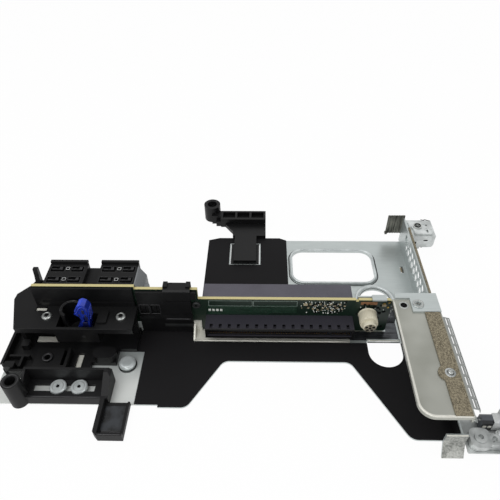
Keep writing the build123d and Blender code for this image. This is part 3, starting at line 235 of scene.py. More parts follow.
@dataclass(frozen=True)
class Finish:
    """A real material: what it is called, how it was made and how light meets it.

    Sizes are millimetres on the object. Grain finer than about 0.6 mm can't show at the photograph's scale, so the
    grain fields hold the coarsest size that still reads as that surface. A lit end is painted light: the paler colour
    that the sheet takes at its front left, fading towards the mouldings.
    """

    name: str
    base: str
    second: str
    roughness: float
    metallic: float = 0.0
    pattern: Pattern = Pattern.GRAIN
    grain_mm: float = 0.9
    cloud_mm: float = 22.0
    mix: float = 0.35
    rough_swing: float = 0.08
    bump_mm: float = 0.02
    specular: float = 0.5
    lit_end: str = ""

    def make(self) -> bpy.types.Material:
        """Build the node material.

        Returns:
            A material whose colour, roughness and bump follow Object coordinates.
        """
        material = bpy.data.materials.new(self.name)
        tree = blank_tree(material)
        place = add_node(tree, "ShaderNodeTexCoord").outputs["Object"]
        streaks = {Pattern.BRUSHED: (STREAK_SHARE, 1.0, 1.0), Pattern.UPRIGHT: (1.0, 1.0, STREAK_SHARE)}
        stretch = streaks.get(self.pattern, (1.0, 1.0, 1.0))
        fitted = add_node(tree, "ShaderNodeMapping", inputs={"Vector": place, "Scale": stretch}).outputs[0]
        grain = {"Vector": fitted, "Scale": 1 / (self.grain_mm * MM), "Detail": 3.0}
        fine = add_node(tree, "ShaderNodeTexNoise", inputs=grain).outputs["Fac"]
        patches = {"Vector": place, "Scale": 1 / (self.cloud_mm * MM), "Detail": 2.0}
        cloud = add_node(tree, "ShaderNodeTexNoise", inputs=patches).outputs["Fac"]
        shade = blend(tree, self._mask(tree, place, fine, cloud), linear(self.base), linear(self.second))
        metal: bpy.types.NodeSocket | float = self.metallic
        # Painted light: the plate turns paler and less metallic at its front left
        if self.lit_end:
            bare = self._front_left(tree, place)
            shade = blend(tree, bare, shade, linear(self.lit_end))
            metal = remap(tree, bare, low=self.metallic, high=LIT_END_METALLIC)
        least = max(LEAST_ROUGHNESS, self.roughness - self.rough_swing)
        rough = remap(tree, fine, low=least, high=min(1.0, self.roughness + self.rough_swing))
        relief = {"Height": fine, "Distance": self.bump_mm * MM, "Strength": BUMP_STRENGTH}
        bump = add_node(tree, "ShaderNodeBump", inputs=relief).outputs[0]
        shader = add_node(
            tree,
            "ShaderNodeBsdfPrincipled",
            inputs={
                "Base Color": shade,
                "Roughness": rough,
                "Normal": bump,
                "Metallic": metal,
                "Specular IOR Level": self.specular,
            },
        )
        add_node(tree, "ShaderNodeOutputMaterial", inputs={"Surface": shader.outputs[0]})
        return material

    def _front_left(self, tree: bpy.types.NodeTree, place: bpy.types.NodeSocket) -> bpy.types.NodeSocket:
        """Work out where the plate's painted light lies: wholly at its front left, fading towards the mouldings.

        Args:
            tree: the material's tree.
            place: Object coordinates.

        Returns:
            A factor socket from 0 to 1.
        """
        parts = add_node(tree, "ShaderNodeSeparateXYZ", inputs={0: place}).outputs
        left = calculate(tree, "LESS_THAN", parts["X"], LIT_END_RIGHT_X)
        front = remap(tree, parts["Y"], LIT_END_FADE_Y, 1.0, 0.0)
        return calculate(tree, "MULTIPLY", left, front)

    def _mask(
        self,
        tree: bpy.types.NodeTree,
        place: bpy.types.NodeSocket,
        fine: bpy.types.NodeSocket,
        cloud: bpy.types.NodeSocket,
    ) -> bpy.types.NodeSocket:
        """Work out where the second colour shows.

        Args:
            tree: the material's tree.
            place: Object coordinates.
            fine: the grain noise.
            cloud: the slow noise.

        Returns:
            A factor socket from 0 to 1.
        """
        if self.pattern is Pattern.SPECKLE:
            threads = {"Vector": place, "Scale": 1 / (self.grain_mm * MM)}
            return remap(tree, add_node(tree, "ShaderNodeTexVoronoi", inputs=threads).outputs["Color"], THREADS)
        if self.pattern is Pattern.CLOUDY:
            return remap(tree, cloud, PATCHES, high=self.mix)
        if self.pattern in (Pattern.BOARD, Pattern.SHADED_FRONT, Pattern.SKYWARD):
            return self._turned(tree, place, cloud)
        return remap(tree, calculate(tree, "ADD", fine, cloud), GRAIN_SUM, high=self.mix)

    def _turned(
        self, tree: bpy.types.NodeTree, place: bpy.types.NodeSocket, cloud: bpy.types.NodeSocket
    ) -> bpy.types.NodeSocket:
        """Work out where the second colour shows in a pattern that follows the way that a face is turned.

        Args:
            tree: the material's tree.
            place: Object coordinates.
            cloud: the slow noise.

        Returns:
            A factor socket from 0 to 1.
        """
        normal = add_node(tree, "ShaderNodeNewGeometry").outputs["Normal"]
        # Painted light on the lever's upturned faces, stronger towards the top
        if self.pattern is Pattern.SKYWARD:
            facing = {0: normal, 1: SKY}
            tilt = add_node(tree, "ShaderNodeVectorMath", {"operation": "DOT_PRODUCT"}, facing).outputs["Value"]
            height = add_node(tree, "ShaderNodeSeparateXYZ", inputs={0: place}).outputs["Z"]
            lit = remap(tree, tilt, (0.0, SKY_TURN), low=SKY_LEAST)
            patchy = calculate(tree, "MULTIPLY", remap(tree, height, SKY_RISE_Z), lit)
            return calculate(tree, "MULTIPLY_ADD", patchy, cloud, SKY_EVERYWHERE)
        depth = add_node(tree, "ShaderNodeSeparateXYZ", inputs={0: normal}).outputs["Y"]
        if self.pattern is Pattern.BOARD:
            return calculate(tree, "LESS_THAN", calculate(tree, "ABSOLUTE", depth), BOARD_EDGE_TURN)
        # Painted shade on the faces turned to the front
        return calculate(tree, "LESS_THAN", depth, FRONT_TURN)


# Zinc-plated rolled steel: satin, with faint streaks along the roll and cloudy patches, and painted light at its front
# left
ZINC = Finish(
    "zinc_plated_steel",
    "#c2c9c8",
    "#aeb5b4",
    0.36,
    0.62,
    Pattern.BRUSHED,
    0.8,
    30.0,
    0.4,
    0.08,
    0.006,
    lit_end="#d9dcd9",
)
# The flange's sheet is duller and warmer than the plate
FLANGE_ZINC = Finish("matte_zinc_sheet", "#b6b7af", "#989990", 0.38, 0.8, Pattern.CLOUDY, 0.9, 28.0, 0.9, 0.06, 0.006)
# Nickel-plated screws and rivets: brighter, with clear reflections
NICKEL = Finish("nickel_plated_steel", "#c4c7c4", "#a0a4a3", 0.30, 0.88, Pattern.GRAIN, 1.0, 9.0, 0.5, 0.08, 0.01)
# Die-cast and stamped latch pieces: duller nickel with a fine cast skin
CAST = Finish("nickel_plated_casting", "#c9cccb", "#979b9a", 0.4, 0.7, Pattern.CLOUDY, 1.0, 7.0, 0.9, 0.06, 0.008)
# The rear latch's casting is paler than the front one's, as painted light
LIT_CAST = Finish("nickel_casting_painted_light", "#dfe3e2", "#b5b9b8", 0.4, 0.6, Pattern.CLOUDY, 1.0, 7.0, 0.9, 0.06, 0.006)
# Corrugated spring clip: dark as painted shade and reflection, with lighter streaks up its ridges
SHADED_CLIP = Finish("spring_steel_painted_shade", "#8f8e85", "#3a3a35", 0.45, 0.6, Pattern.UPRIGHT, 1.0, 9.0, 1.0, 0.06, 0.02)
# Polished rolled rims and screw heads: steel that mirrors the white room, painted pale as a highlight
POLISHED_HIGHLIGHT = Finish("polished_steel_painted_highlight", "#d9dfdf", "#b4bbbb", 0.33, 0.5, Pattern.CLOUDY, 0.9, 6.0, 0.7, 0.04, 0.0)
# Blackened spring steel, and the same dark steel as painted shade in the grooves beside rims and round the stud
DARK_STEEL_AND_SHADE = Finish("blackened_steel_and_painted_shade", "#3a3c3c", "#2b2d2d", 0.42, 0.6, Pattern.GRAIN, 0.9, 8.0, 0.6, 0.06, 0.01)
# Polycarbonate insulating film: near black and dead matte
FILM = Finish("black_insulating_film", "#0e0d0f", "#151416", 0.7, 0.0, Pattern.GRAIN, 0.8, 40.0, 0.5, 0.05, 0.01, 0.22)
# Conductive cloth over foam: brown-grey speckled weave
GASKET = Finish("conductive_cloth", "#958c76", "#5f5848", 0.85, 0.1, Pattern.SPECKLE, 0.55, 12.0, 1.0, 0.05, 0.12)
# Glass-filled nylon: black with a fine spark-eroded texture
NYLON = Finish(
    "black_glass_filled_nylon", "#0c0c0d", "#151516", 0.42, 0.0, Pattern.GRAIN, 0.8, 15.0, 0.6, 0.07, 0.02, 0.26
)
# Polycarbonate tray: a little greyer and smoother, so its edges catch light
TRAY = Finish("black_polycarbonate", "#141415", "#1c1c1d", 0.5, 0.0, Pattern.GRAIN, 1.0, 14.0, 0.6, 0.06, 0.02, 0.24)
# Liquid-crystal polymer of the rear card slot: slate with a violet cast
SLOT = Finish("slate_slot_polymer", "#494750", "#57555f", 0.45, 0.0, Pattern.GRAIN, 0.9, 12.0, 0.6, 0.06, 0.012)
# The front slot's polymer: darker than the rear slot's, with its front faces near black as painted shade
DARK_SLOT = Finish(
    "dark_slot_polymer", "#302f36", "#070708", 0.45, 0.0, Pattern.SHADED_FRONT, 0.9, 12.0, 0.6, 0.06, 0.012, 0.28
)
# Fibreglass laminate: dark green mask on the faces, cream cut edges
LAMINATE = Finish(
    "solder_masked_fibreglass", "#081e13", "#c6bb86", 0.38, 0.0, Pattern.BOARD, 0.8, 15.0, 1.0, 0.06, 0.008
)
# Gold-plated phosphor bronze springs
GOLD = Finish("gold_plated_bronze", "#c9a552", "#b08d3d", 0.28, 1.0, Pattern.GRAIN, 1.0, 6.0, 0.5, 0.05, 0.002)
# Acetal lever: saturated blue, satin, with painted light on its faces turned up and towards the top
ACETAL = Finish("blue_acetal", "#0a1354", "#2c52ee", 0.22, 0.0, Pattern.SKYWARD, 1.0, 4.0, 1.0, 0.05, 0.008)
# Natural nylon thumbscrew knob: cream
NATURAL = Finish("natural_nylon", "#d2cdb8", "#b9b29c", 0.42, 0.0, Pattern.GRAIN, 0.9, 6.0, 0.6, 0.05, 0.01)
# Light grey ABS of the catch, and the mid grey of the block's side plate
GREY_ABS = Finish("light_grey_abs", "#c3c5c4", "#a3a5a5", 0.45, 0.0, Pattern.GRAIN, 0.9, 9.0, 0.6, 0.05, 0.01)
MID_ABS = Finish("mid_grey_abs", "#7d8082", "#66696b", 0.45, 0.0, Pattern.GRAIN, 0.9, 9.0, 0.6, 0.05, 0.01)
# Ceramic and tin of the small soldered parts
CERAMIC = Finish("ceramic_parts", "#a99d82", "#6f6550", 0.4, 0.1, Pattern.GRAIN, 0.8, 3.0, 0.9, 0.05, 0.004)
# Bright passivated zinc: half matte, and warmer than the polished rims; on hems, rim edges and slot floors it is
# painted highlight and painted light
BRIGHT_AND_HIGHLIGHT = Finish("bright_zinc_and_painted_highlight", "#e2e1d8", "#c9c8be", 0.42, 0.35, Pattern.GRAIN, 0.9, 10.0, 0.5, 0.06, 0.01)
# Painted shade on the lever: dark blue in its hollows and down its shaded side
LEVER_SHADE = Finish("acetal_painted_shade", "#080d33", "#0b1245", 0.4, 0.0, Pattern.GRAIN, 0.9, 5.0, 0.6, 0.05, 0.01)
# Epoxy silkscreen: full strength in the block marks and pads, thin in the printed outlines
WHITE_INK = Finish("white_epoxy_ink", "#dfe2dc", "#bfc4be", 0.6, 0.0, Pattern.GRAIN, 0.7, 6.0, 0.6, 0.04, 0.004)
DIM_INK = Finish("thin_epoxy_ink", "#8d9c94", "#66756d", 0.6, 0.0, Pattern.GRAIN, 0.7, 6.0, 0.8, 0.04, 0.004)
# Copper under the solder mask, and bare tinned copper
MASKED_COPPER = Finish("masked_copper", "#123a26", "#0e2f20", 0.36, 0.1, Pattern.GRAIN, 0.8, 8.0, 0.6, 0.04, 0.004)
BARE_COPPER = Finish("tinned_copper", "#93694a", "#6f5038", 0.42, 0.5, Pattern.GRAIN, 0.8, 8.0, 0.6, 0.05, 0.004)
# Painted highlight: lighter, smoother nylon on the edges, rims and small bars of the black mouldings
EDGE_HIGHLIGHT = Finish("nylon_edge_highlight", "#262628", "#1d1d1f", 0.34, 0.0, Pattern.GRAIN, 0.9, 8.0, 0.6, 0.06, 0.01, 0.5)
# Slate nylon of the spring block: paler from above, and dark in front as painted shade
SLATE = Finish("slate_nylon", "#4c4f55", "#1c1d20", 0.4, 0.0, Pattern.SHADED_FRONT, 0.9, 6.0, 0.6, 0.06, 0.012)
# Painted shade on the tab's face: zinc patchy from light to mid grey
TAB_SHADE = Finish("zinc_painted_shade", "#c2c3be", "#7c7e7a", 0.4, 0.7, Pattern.GRAIN, 0.9, 6.0, 1.0, 0.08, 0.02)
# Oiled spring steel: dark, half polished, so it mirrors the black parts over it; laid on the plate under the board,
# its dark colour is painted shade and reflection
OILED_STEEL_AND_SHADE = Finish("oiled_steel_and_painted_shade", "#5a5d61", "#26272a", 0.28, 0.6, Pattern.BRUSHED, 0.9, 7.0, 0.9, 0.08, 0.01)
# Clear gloss on the tray's tab, with lighter patches of painted reflection
GLOSS_AND_REFLECTION = Finish("polycarbonate_gloss_and_painted_reflection", "#141516", "#34373b", 0.22, 0.0, Pattern.CLOUDY, 0.9, 7.0, 1.0, 0.08, 0.01)
# Painted shade on the cream nylon of the knob: its shoulder ring and its nose face
KNOB_SHADE = Finish("shaded_nylon", "#8b8470", "#6f6958", 0.5, 0.0, Pattern.GRAIN, 0.9, 5.0, 0.6, 0.05, 0.01)
# Painted shade in deep recesses and creases, and the black of dark chips
SHADOW = Finish("painted_shade_and_black_chips", "#060607", "#0a0a0b", 0.7, 0.0, Pattern.GRAIN, 0.8, 8.0, 0.5, 0.04, 0.002, 0.15)

DRESS: dict[str, Finish] = {
    "cover_plate": ZINC,
    "rear_film": FILM,
    "front_film": FILM,
    "front_flange": FLANGE_ZINC,
    "front_gasket": GASKET,
    "flange_rivet": CAST,
    "rear_gasket": GASKET,
    "spring_strip": NICKEL,
    "riser_board": LAMINATE,
    "front_slot": DARK_SLOT,
    "rear_slot": SLOT,
    "front_contacts": GOLD,
    "rear_contacts": GOLD,
    "board_bracket": BRIGHT_AND_HIGHLIGHT,
    "board_post": ZINC,
    "thumbscrew_knob": NATURAL,
    "thumbscrew_shank": NICKEL,
    "mating_block_left": NYLON,
    "mating_block_right": NYLON,
    "block_spacer": NYLON,
    "block_side_plate": MID_ABS,
    "board_clip": NYLON,
    "board_cover": NYLON,
    "board_screw": DARK_STEEL_AND_SHADE,
    "board_parts": CERAMIC,
    "board_shield": NYLON,
    "upper_moulding": NYLON,
    "release_lever": ACETAL,
    "lever_pin": DARK_STEEL_AND_SHADE,
    "lower_moulding": NYLON,
    "shelf_screws": NICKEL,
    "tray_screws": POLISHED_HIGHLIGHT,
    "plate_stud": POLISHED_HIGHLIGHT,
    "slide_tray": TRAY,
    "rear_arm": NYLON,
    "rear_end_clip": SHADED_CLIP,
    "rear_ledge": LIT_CAST,
    "rear_retainer": LIT_CAST,
    "rear_rivet": NICKEL,
    "front_ledge": CAST,
    "front_retainer": CAST,
    "front_rivet": CAST,
    "spring_block": SLATE,
    "spring_wire": NICKEL,
    "front_catch": GREY_ABS,
}


class Wardrobe:
    """Makes each finish once and hands it out by its dataclass."""

    def __init__(self) -> None:
        """Start with no materials made."""
        self._made: dict[str, bpy.types.Material] = {}

    def get(self, finish: Finish) -> bpy.types.Material:
        """Hand out a finish's material, made on first use.

        Args:
            finish: the finish wanted.

        Returns:
            Its material.
        """
        if finish.name not in self._made:
            self._made[finish.name] = finish.make()
        return self._made[finish.name]

    def dress(self, piece: bpy.types.Object, finish: Finish) -> None:
        """Give a whole piece one finish."""
        piece.data.materials.clear()
        piece.data.materials.append(self.get(finish))


# ---- Surfaces worked out as whole arrays


def mesh_object(name: str, points: np.ndarray, faces: Sequence[Sequence[int]] | np.ndarray) -> bpy.types.Object:
    """Make a mesh object whose origin is the frame's.

    Args:
        name: the object's name.
        points: n by 3 array of places in metres.
        faces: indices of each face.

    Returns:
        The linked object.
    """
    mesh = bpy.data.meshes.new(name)
    listed = faces if isinstance(faces, list) else faces.tolist()
    mesh.from_pydata(points.reshape(-1, 3).tolist(), [], listed)
    mesh.validate()
    mesh.update()
    piece = bpy.data.objects.new(name, mesh)
    bpy.context.scene.collection.objects.link(piece)
    return piece


def grid_faces(rows: int, columns: int, wrap_rows: bool = False) -> np.ndarray:
    """Number the four-sided faces of a grid of points whose last column joins its first.

    Args:
        rows: points along the first parameter.
        columns: points along the second parameter.
        wrap_rows: whether the last row joins the first.

    Returns:
        An array with one line of four point numbers for each face.
    """
    u = np.arange(rows if wrap_rows else rows - 1)
    uu, vv = np.meshgrid(u, np.arange(columns), indexing="ij")
    un, vn = (uu + 1) % rows, (vv + 1) % columns
    quads = np.stack([uu * columns + vv, un * columns + vv, un * columns + vn, uu * columns + vn], -1)
    return quads.reshape(-1, 4)


def soft_blocks(
    name: str,
    centres: np.ndarray,
    halves: np.ndarray,
    sharpness: float = 0.18,
    rings: int = 9,
    sides: int = 16,
) -> bpy.types.Object:
    """Many small blocks with rounded edges, as one closed superquadric repeated at each centre.

    The surface is x = a c(v) c(u), y = b c(v) s(u), z = h s(v), where c and s are the cosine and sine raised to the
    sharpness with their sign kept.

    Args:
        name: the object's name.
        centres: n by 3 array of centres in metres.
        halves: n by 3 array of half sizes in metres.
        sharpness: the power; 1 is an ellipsoid and 0 a box.
        rings: points from pole to pole.
        sides: points round the middle.

    Returns:
        The object.
    """
    u = np.linspace(-math.pi, math.pi, sides, endpoint=False) + math.pi / sides
    v = np.linspace(-math.pi / 2, math.pi / 2, rings)[1:-1]

    def power(values: np.ndarray) -> np.ndarray:
        """Raise to the sharpness and keep the sign."""
        return np.sign(values) * np.abs(values) ** sharpness

    vv, uu = np.meshgrid(v, u, indexing="ij")
    across = power(np.cos(vv))
    unit = np.stack([across * power(np.cos(uu)), across * power(np.sin(uu)), power(np.sin(vv))], -1)
    unit = np.concatenate([unit.reshape(-1, 3), [[0, 0, -1.0], [0, 0, 1.0]]])
    count, ring_count = len(unit), len(v)
    quads = grid_faces(ring_count, sides)
    body = np.concatenate([quads[:, [0, 3, 2]], quads[:, [0, 2, 1]]])
    around = np.arange(sides)
    bottom = np.stack([np.full(sides, count - 2), (around + 1) % sides, around], -1)
    last = (ring_count - 1) * sides
    top = np.stack([np.full(sides, count - 1), last + around, last + (around + 1) % sides], -1)
    faces = np.concatenate([body, bottom, top])
    points = centres[:, None, :] + unit[None] * halves[:, None, :]
    return mesh_object(name, points, repeated(faces, count, len(centres)))


def repeated(faces: np.ndarray, points_each: int, copies: int) -> np.ndarray:
    """Number the faces of several copies of one mesh: each copy's numbers are the first's plus a whole shift."""
    every = faces[None] + (np.arange(copies) * points_each)[:, None, None]
    return every.reshape(-1, faces.shape[1])


def bead(
    name: str,
    path: np.ndarray,
    radius: float,
    up: Point = UP,
    flat: float = 1.0,
    closed: bool = False,
    sides: int = 12,
) -> bpy.types.Object:
    """A rounded bead along a path that lies in the plane square to up.

    At each point of the path p the section is p + r (cos(a) side + flat sin(a) head), where side and head are square
    to the path.

    Args:
        name: the object's name.
        path: n by 3 array of the line down its middle.
        radius: half its width.
        up: the direction out of the path's plane.
        flat: its height as a share of its width.
        closed: whether the end joins the start.
        sides: points round it.

    Returns:
        The object, capped at its ends where it is open.
    """
    ahead = np.roll(path, -1, 0) - np.roll(path, 1, 0) if closed else np.gradient(path, axis=0)
    ahead = ahead / np.linalg.norm(ahead, axis=1, keepdims=True)
    side = np.cross(ahead, np.array(up))
    side = side / np.linalg.norm(side, axis=1, keepdims=True)
    head = np.cross(side, ahead)
    angle = np.linspace(0, 2 * math.pi, sides, endpoint=False)[None, :, None]
    ring = radius * (np.cos(angle) * side[:, None] + flat * np.sin(angle) * head[:, None])
    faces = grid_faces(len(path), sides, closed).tolist()
    if not closed:
        last = (len(path) - 1) * sides
        faces += [list(range(sides)), list(range(last + sides - 1, last - 1, -1))]
    return mesh_object(name, path[:, None] + ring, faces)


def lathe(
    name: str,
    profile: Profile,
    centres: np.ndarray,
    axis: Point = UP,
    lobes: int = 0,
    swell: float = 0.0,
    sides: int = 48,
) -> bpy.types.Object:
    """Turn a profile about an axis at each centre; lobes and swell give it a wavy outline.

    At the angle a the radius is r (1 + swell cos(lobes a)), and the height is the profile's own.

    Args:
        name: the object's name.
        profile: radius and height in millimetres, from the low pole to the high pole, both at radius 0.
        centres: n by 3 array of places in metres.
        axis: the direction in which height grows.
        lobes: waves round the outline.
        swell: the waves' depth as a share of the radius.
        sides: points round it.

    Returns:
        The object.
    """
    towards = np.array(axis) / np.linalg.norm(axis)
    across = np.cross(towards, [1.0, 0.0, 0.0])
    across = across / np.linalg.norm(across)
    basis = np.stack([np.cross(across, towards), across, towards])
    shape = np.array(profile) * MM
    angle = np.linspace(0, 2 * math.pi, sides, endpoint=False)
    reach = shape[1:-1, :1] * (1 + swell * np.cos(lobes * angle))[None]
    local = np.stack([reach * np.cos(angle), reach * np.sin(angle), np.broadcast_to(shape[1:-1, 1:], reach.shape)], -1)
    poles = np.array([[0, 0, shape[0, 1]], [0, 0, shape[-1, 1]]])
    unit = np.concatenate([local.reshape(-1, 3), poles]) @ basis
    rings, count, around = len(shape) - 2, len(unit), np.arange(sides)
    quads = grid_faces(rings, sides)[:, ::-1]
    top = (rings - 1) * sides
    faces = np.concatenate(
        [
            quads[:, [0, 1, 2]],
            quads[:, [0, 2, 3]],
            np.stack([np.full(sides, count - 2), (around + 1) % sides, around], -1),
            np.stack([np.full(sides, count - 1), top + around, top + (around + 1) % sides], -1),
        ]
    )
    return mesh_object(name, centres[:, None] + unit[None], repeated(faces, count, len(centres)))


def rounded_loop(centre: Point, width: float, depth: float, radius: float, upright: bool = False) -> np.ndarray:
    """Points anticlockwise round a rectangle with rounded corners.

    Args:
        centre: its middle in millimetres.
        width: its size along X in millimetres.
        depth: its size along Y, or along Z where upright.
        radius: its corners' radius in millimetres.
        upright: whether it stands in the XZ plane.

    Returns:
        n by 3 array in metres.
    """
    signs = np.array([[1, 1], [-1, 1], [-1, -1], [1, -1]], float)
    turn = np.linspace(0, math.pi / 2, 9)[None] + np.arange(4)[:, None] * math.pi / 2
    inner = signs * (np.array([width, depth]) / 2 - radius)
    flat = inner[:, None] + radius * np.stack([np.cos(turn), np.sin(turn)], -1)
    flat = flat.reshape(-1, 2)
    zero = np.zeros(len(flat))
    columns = (flat[:, 0], zero, flat[:, 1]) if upright else (flat[:, 0], flat[:, 1], zero)
    return (np.stack(columns, -1) + np.array(centre)) * MM


def arc(centre: Point, radius: float, start: float, end: float, count: int = 40) -> np.ndarray:
    """Points along a level arc: centre + radius (cos(a), sin(a), 0), with a in even steps.

    Args:
        centre: its middle in millimetres.
        radius: in millimetres.
        start: the first angle in degrees, from +X towards +Y.
        end: the last angle in degrees.
        count: how many points.

    Returns:
        n by 3 array in metres.
    """
    turn = np.radians(np.linspace(start, end, count))
    flat = np.stack([radius * np.cos(turn), radius * np.sin(turn), np.zeros(count)], -1)
    return (flat + np.array(centre)) * MM


def line(*stops: Point, count: int = 12) -> np.ndarray:
    """Evenly spaced points along straight runs between stops.

    Args:
        stops: the corners in millimetres.
        count: steps in each run.

    Returns:
        n by 3 array in metres.
    """
    corners = np.array(stops, float)
    where = np.linspace(0, len(corners) - 1, count * (len(corners) - 1) + 1)
    return np.stack([np.interp(where, np.arange(len(corners)), corners[:, k]) for k in range(3)], -1) * MM


def folded_sheet(
    name: str, profile: Profile, thickness: float, left: float, right: float
) -> bpy.types.Object:
    """A thin sheet folded along lines parallel to X: its profile and the same profile set inwards, carried along X.

    Args:
        name: the object's name.
        profile: stops as y and z in millimetres, down its outer face.
        thickness: in millimetres, laid on the inner side.
        left: its left end's x in millimetres.
        right: its right end's x in millimetres.

    Returns:
        The object, a closed prism.
    """
    outer = np.array(profile, float)
    ahead = np.gradient(outer, axis=0)
    ahead = ahead / np.linalg.norm(ahead, axis=1, keepdims=True)
    inner = outer + thickness * np.stack([-ahead[:, 1], ahead[:, 0]], -1)
    loop = np.concatenate([outer, inner[::-1]])
    count = len(loop)
    ends = [np.concatenate([np.full((count, 1), x), loop], 1) for x in (left, right)]
    around = np.arange(count)
    sides = np.stack([around, (around + 1) % count, (around + 1) % count + count, around + count], -1).tolist()
    caps = [list(range(count - 1, -1, -1)), list(range(count, 2 * count))]
    return mesh_object(name, np.concatenate(ends) * MM, sides + caps)


def places(*points: Point) -> np.ndarray:
    """Turn millimetre points into an array in metres."""
    return np.array(points, float) * MM


# ---- Kinds of small piece


@dataclass(frozen=True)
class Piece:
    """A small piece: its name, its finish, the body that it moves with and whether it is shaded smooth."""

    name: str
    finish: Finish
    body: str = field(default="riser", kw_only=True)
    smooth: bool = field(default=True, kw_only=True)

    def mesh(self) -> bpy.types.Object:
        """Build the piece in its place."""
        raise NotImplementedError


@dataclass(frozen=True)
class Blocks(Piece):
    """Rounded blocks in one piece, in millimetres. A single half size serves every centre."""

    centres: Sequence[Point] | np.ndarray
    halves: Sequence[Point] | np.ndarray
    sharpness: float = 0.18
    rings: int = 9
    sides: int = 16

    def mesh(self) -> bpy.types.Object:
        """Build the blocks."""
        centres, halves = places(*self.centres), places(*self.halves)
        return soft_blocks(self.name, centres, halves, self.sharpness, self.rings, self.sides)


@dataclass(frozen=True)
class Bead(Piece):
    """A bead along a path in metres, its half width in millimetres and its height as a share of its width."""

    path: np.ndarray
    half_width: float
    flat: float = 1.0
    up: Point = UP
    closed: bool = False
    sides: int = 12

    def mesh(self) -> bpy.types.Object:
        """Build the bead."""
        return bead(self.name, self.path, self.half_width * MM, self.up, self.flat, self.closed, self.sides)


@dataclass(frozen=True)
class Turned(Piece):
    """A turned form at each centre, in millimetres."""

    profile: Profile
    centres: Sequence[Point]
    axis: Point = UP
    lobes: int = 0
    swell: float = 0.0
    sides: int = 48

    def mesh(self) -> bpy.types.Object:
        """Build the forms."""
        return lathe(self.name, self.profile, places(*self.centres), self.axis, self.lobes, self.swell, self.sides)


@dataclass(frozen=True)
class Folded(Piece):
    """A thin sheet folded along lines parallel to X, in millimetres."""

    profile: Profile
    thickness: float
    left: float
    right: float

    def mesh(self) -> bpy.types.Object:
        """Build the sheet."""
        return folded_sheet(self.name, self.profile, self.thickness, self.left, self.right)


def rings(
    name: str, finish: Finish, centres: Sequence[Point], radius: float, width: float, flat: float = 0.5
) -> tuple[Bead, ...]:
    """Set out a rounded ring at each centre, such as a rolled rim or a spread rivet.

    Args:
        name: the pieces' name, which a number follows.
        finish: their material.
        centres: places in millimetres.
        radius: the ring's middle radius in millimetres.
        width: the ring's own width in millimetres.
        flat: its height as a share of its width.

    Returns:
        One bead for each ring.
    """
    loops = (arc(centre, radius, 0, 360, 49)[:-1] for centre in centres)
    return tuple(
        Bead(f"{name}_{number}", finish, loop, width / 2, flat, closed=True, sides=10)
        for number, loop in enumerate(loops)
    )


def scatter(
    name: str,
    finish: Finish,
    rng: np.random.Generator,
    count: int,
    half: tuple[float, float],
    area: Area,
    face_y: float = 0.0,
    outward: float = -1.0,
) -> Blocks:
    """Strew small soldered parts over an area of an upright face.

    Args:
        name: the piece's name.
        finish: their material.
        rng: source of places and sizes, seeded by the caller.
        count: how many.
        half: least and greatest half size in millimetres.
        area: left, densest and right x, then low and high z.
        face_y: the face they sit on.
        outward: the side they stand out to, as the sign of Y.

    Returns:
        The parts as one piece.
    """
    x = rng.triangular(*area[:3], count)
    z = rng.uniform(*area[3:], count)
    sizes = rng.uniform(*half, (count, 2))
    centres = np.stack([x, np.full(count, face_y + outward * CHIP_LIFT), z], -1)
    halves = np.stack([sizes[:, 0], np.full(count, CHIP_HALF_HEIGHT), sizes[:, 1] * CHIP_SQUAT], -1)
    return Blocks(name, finish, centres, halves, 0.2, 7, 12)


# ---- Detail on each sub-assembly


@dataclass
class Detail:
    """A sub-assembly's small pieces. Each subclass holds its sizes in millimetres and adds its pieces in build."""

    wardrobe: Wardrobe

    def add(self, *plans: Piece) -> None:
        """Build each piece, shade it, dress it and let it move with its body.

        Args:
            plans: what to build, in order.
        """
        for plan in plans:
            piece, body = plan.mesh(), plan.body
            piece.data.polygons.foreach_set("use_smooth", np.full(len(piece.data.polygons), plan.smooth))
            self.wardrobe.dress(piece, plan.finish)
            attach(piece, body)
            LOG.info("added %s in %s on %s", plan.name, plan.finish.name, body)

    def build(self) -> None:
        """Add the sub-assembly's pieces."""
        raise NotImplementedError


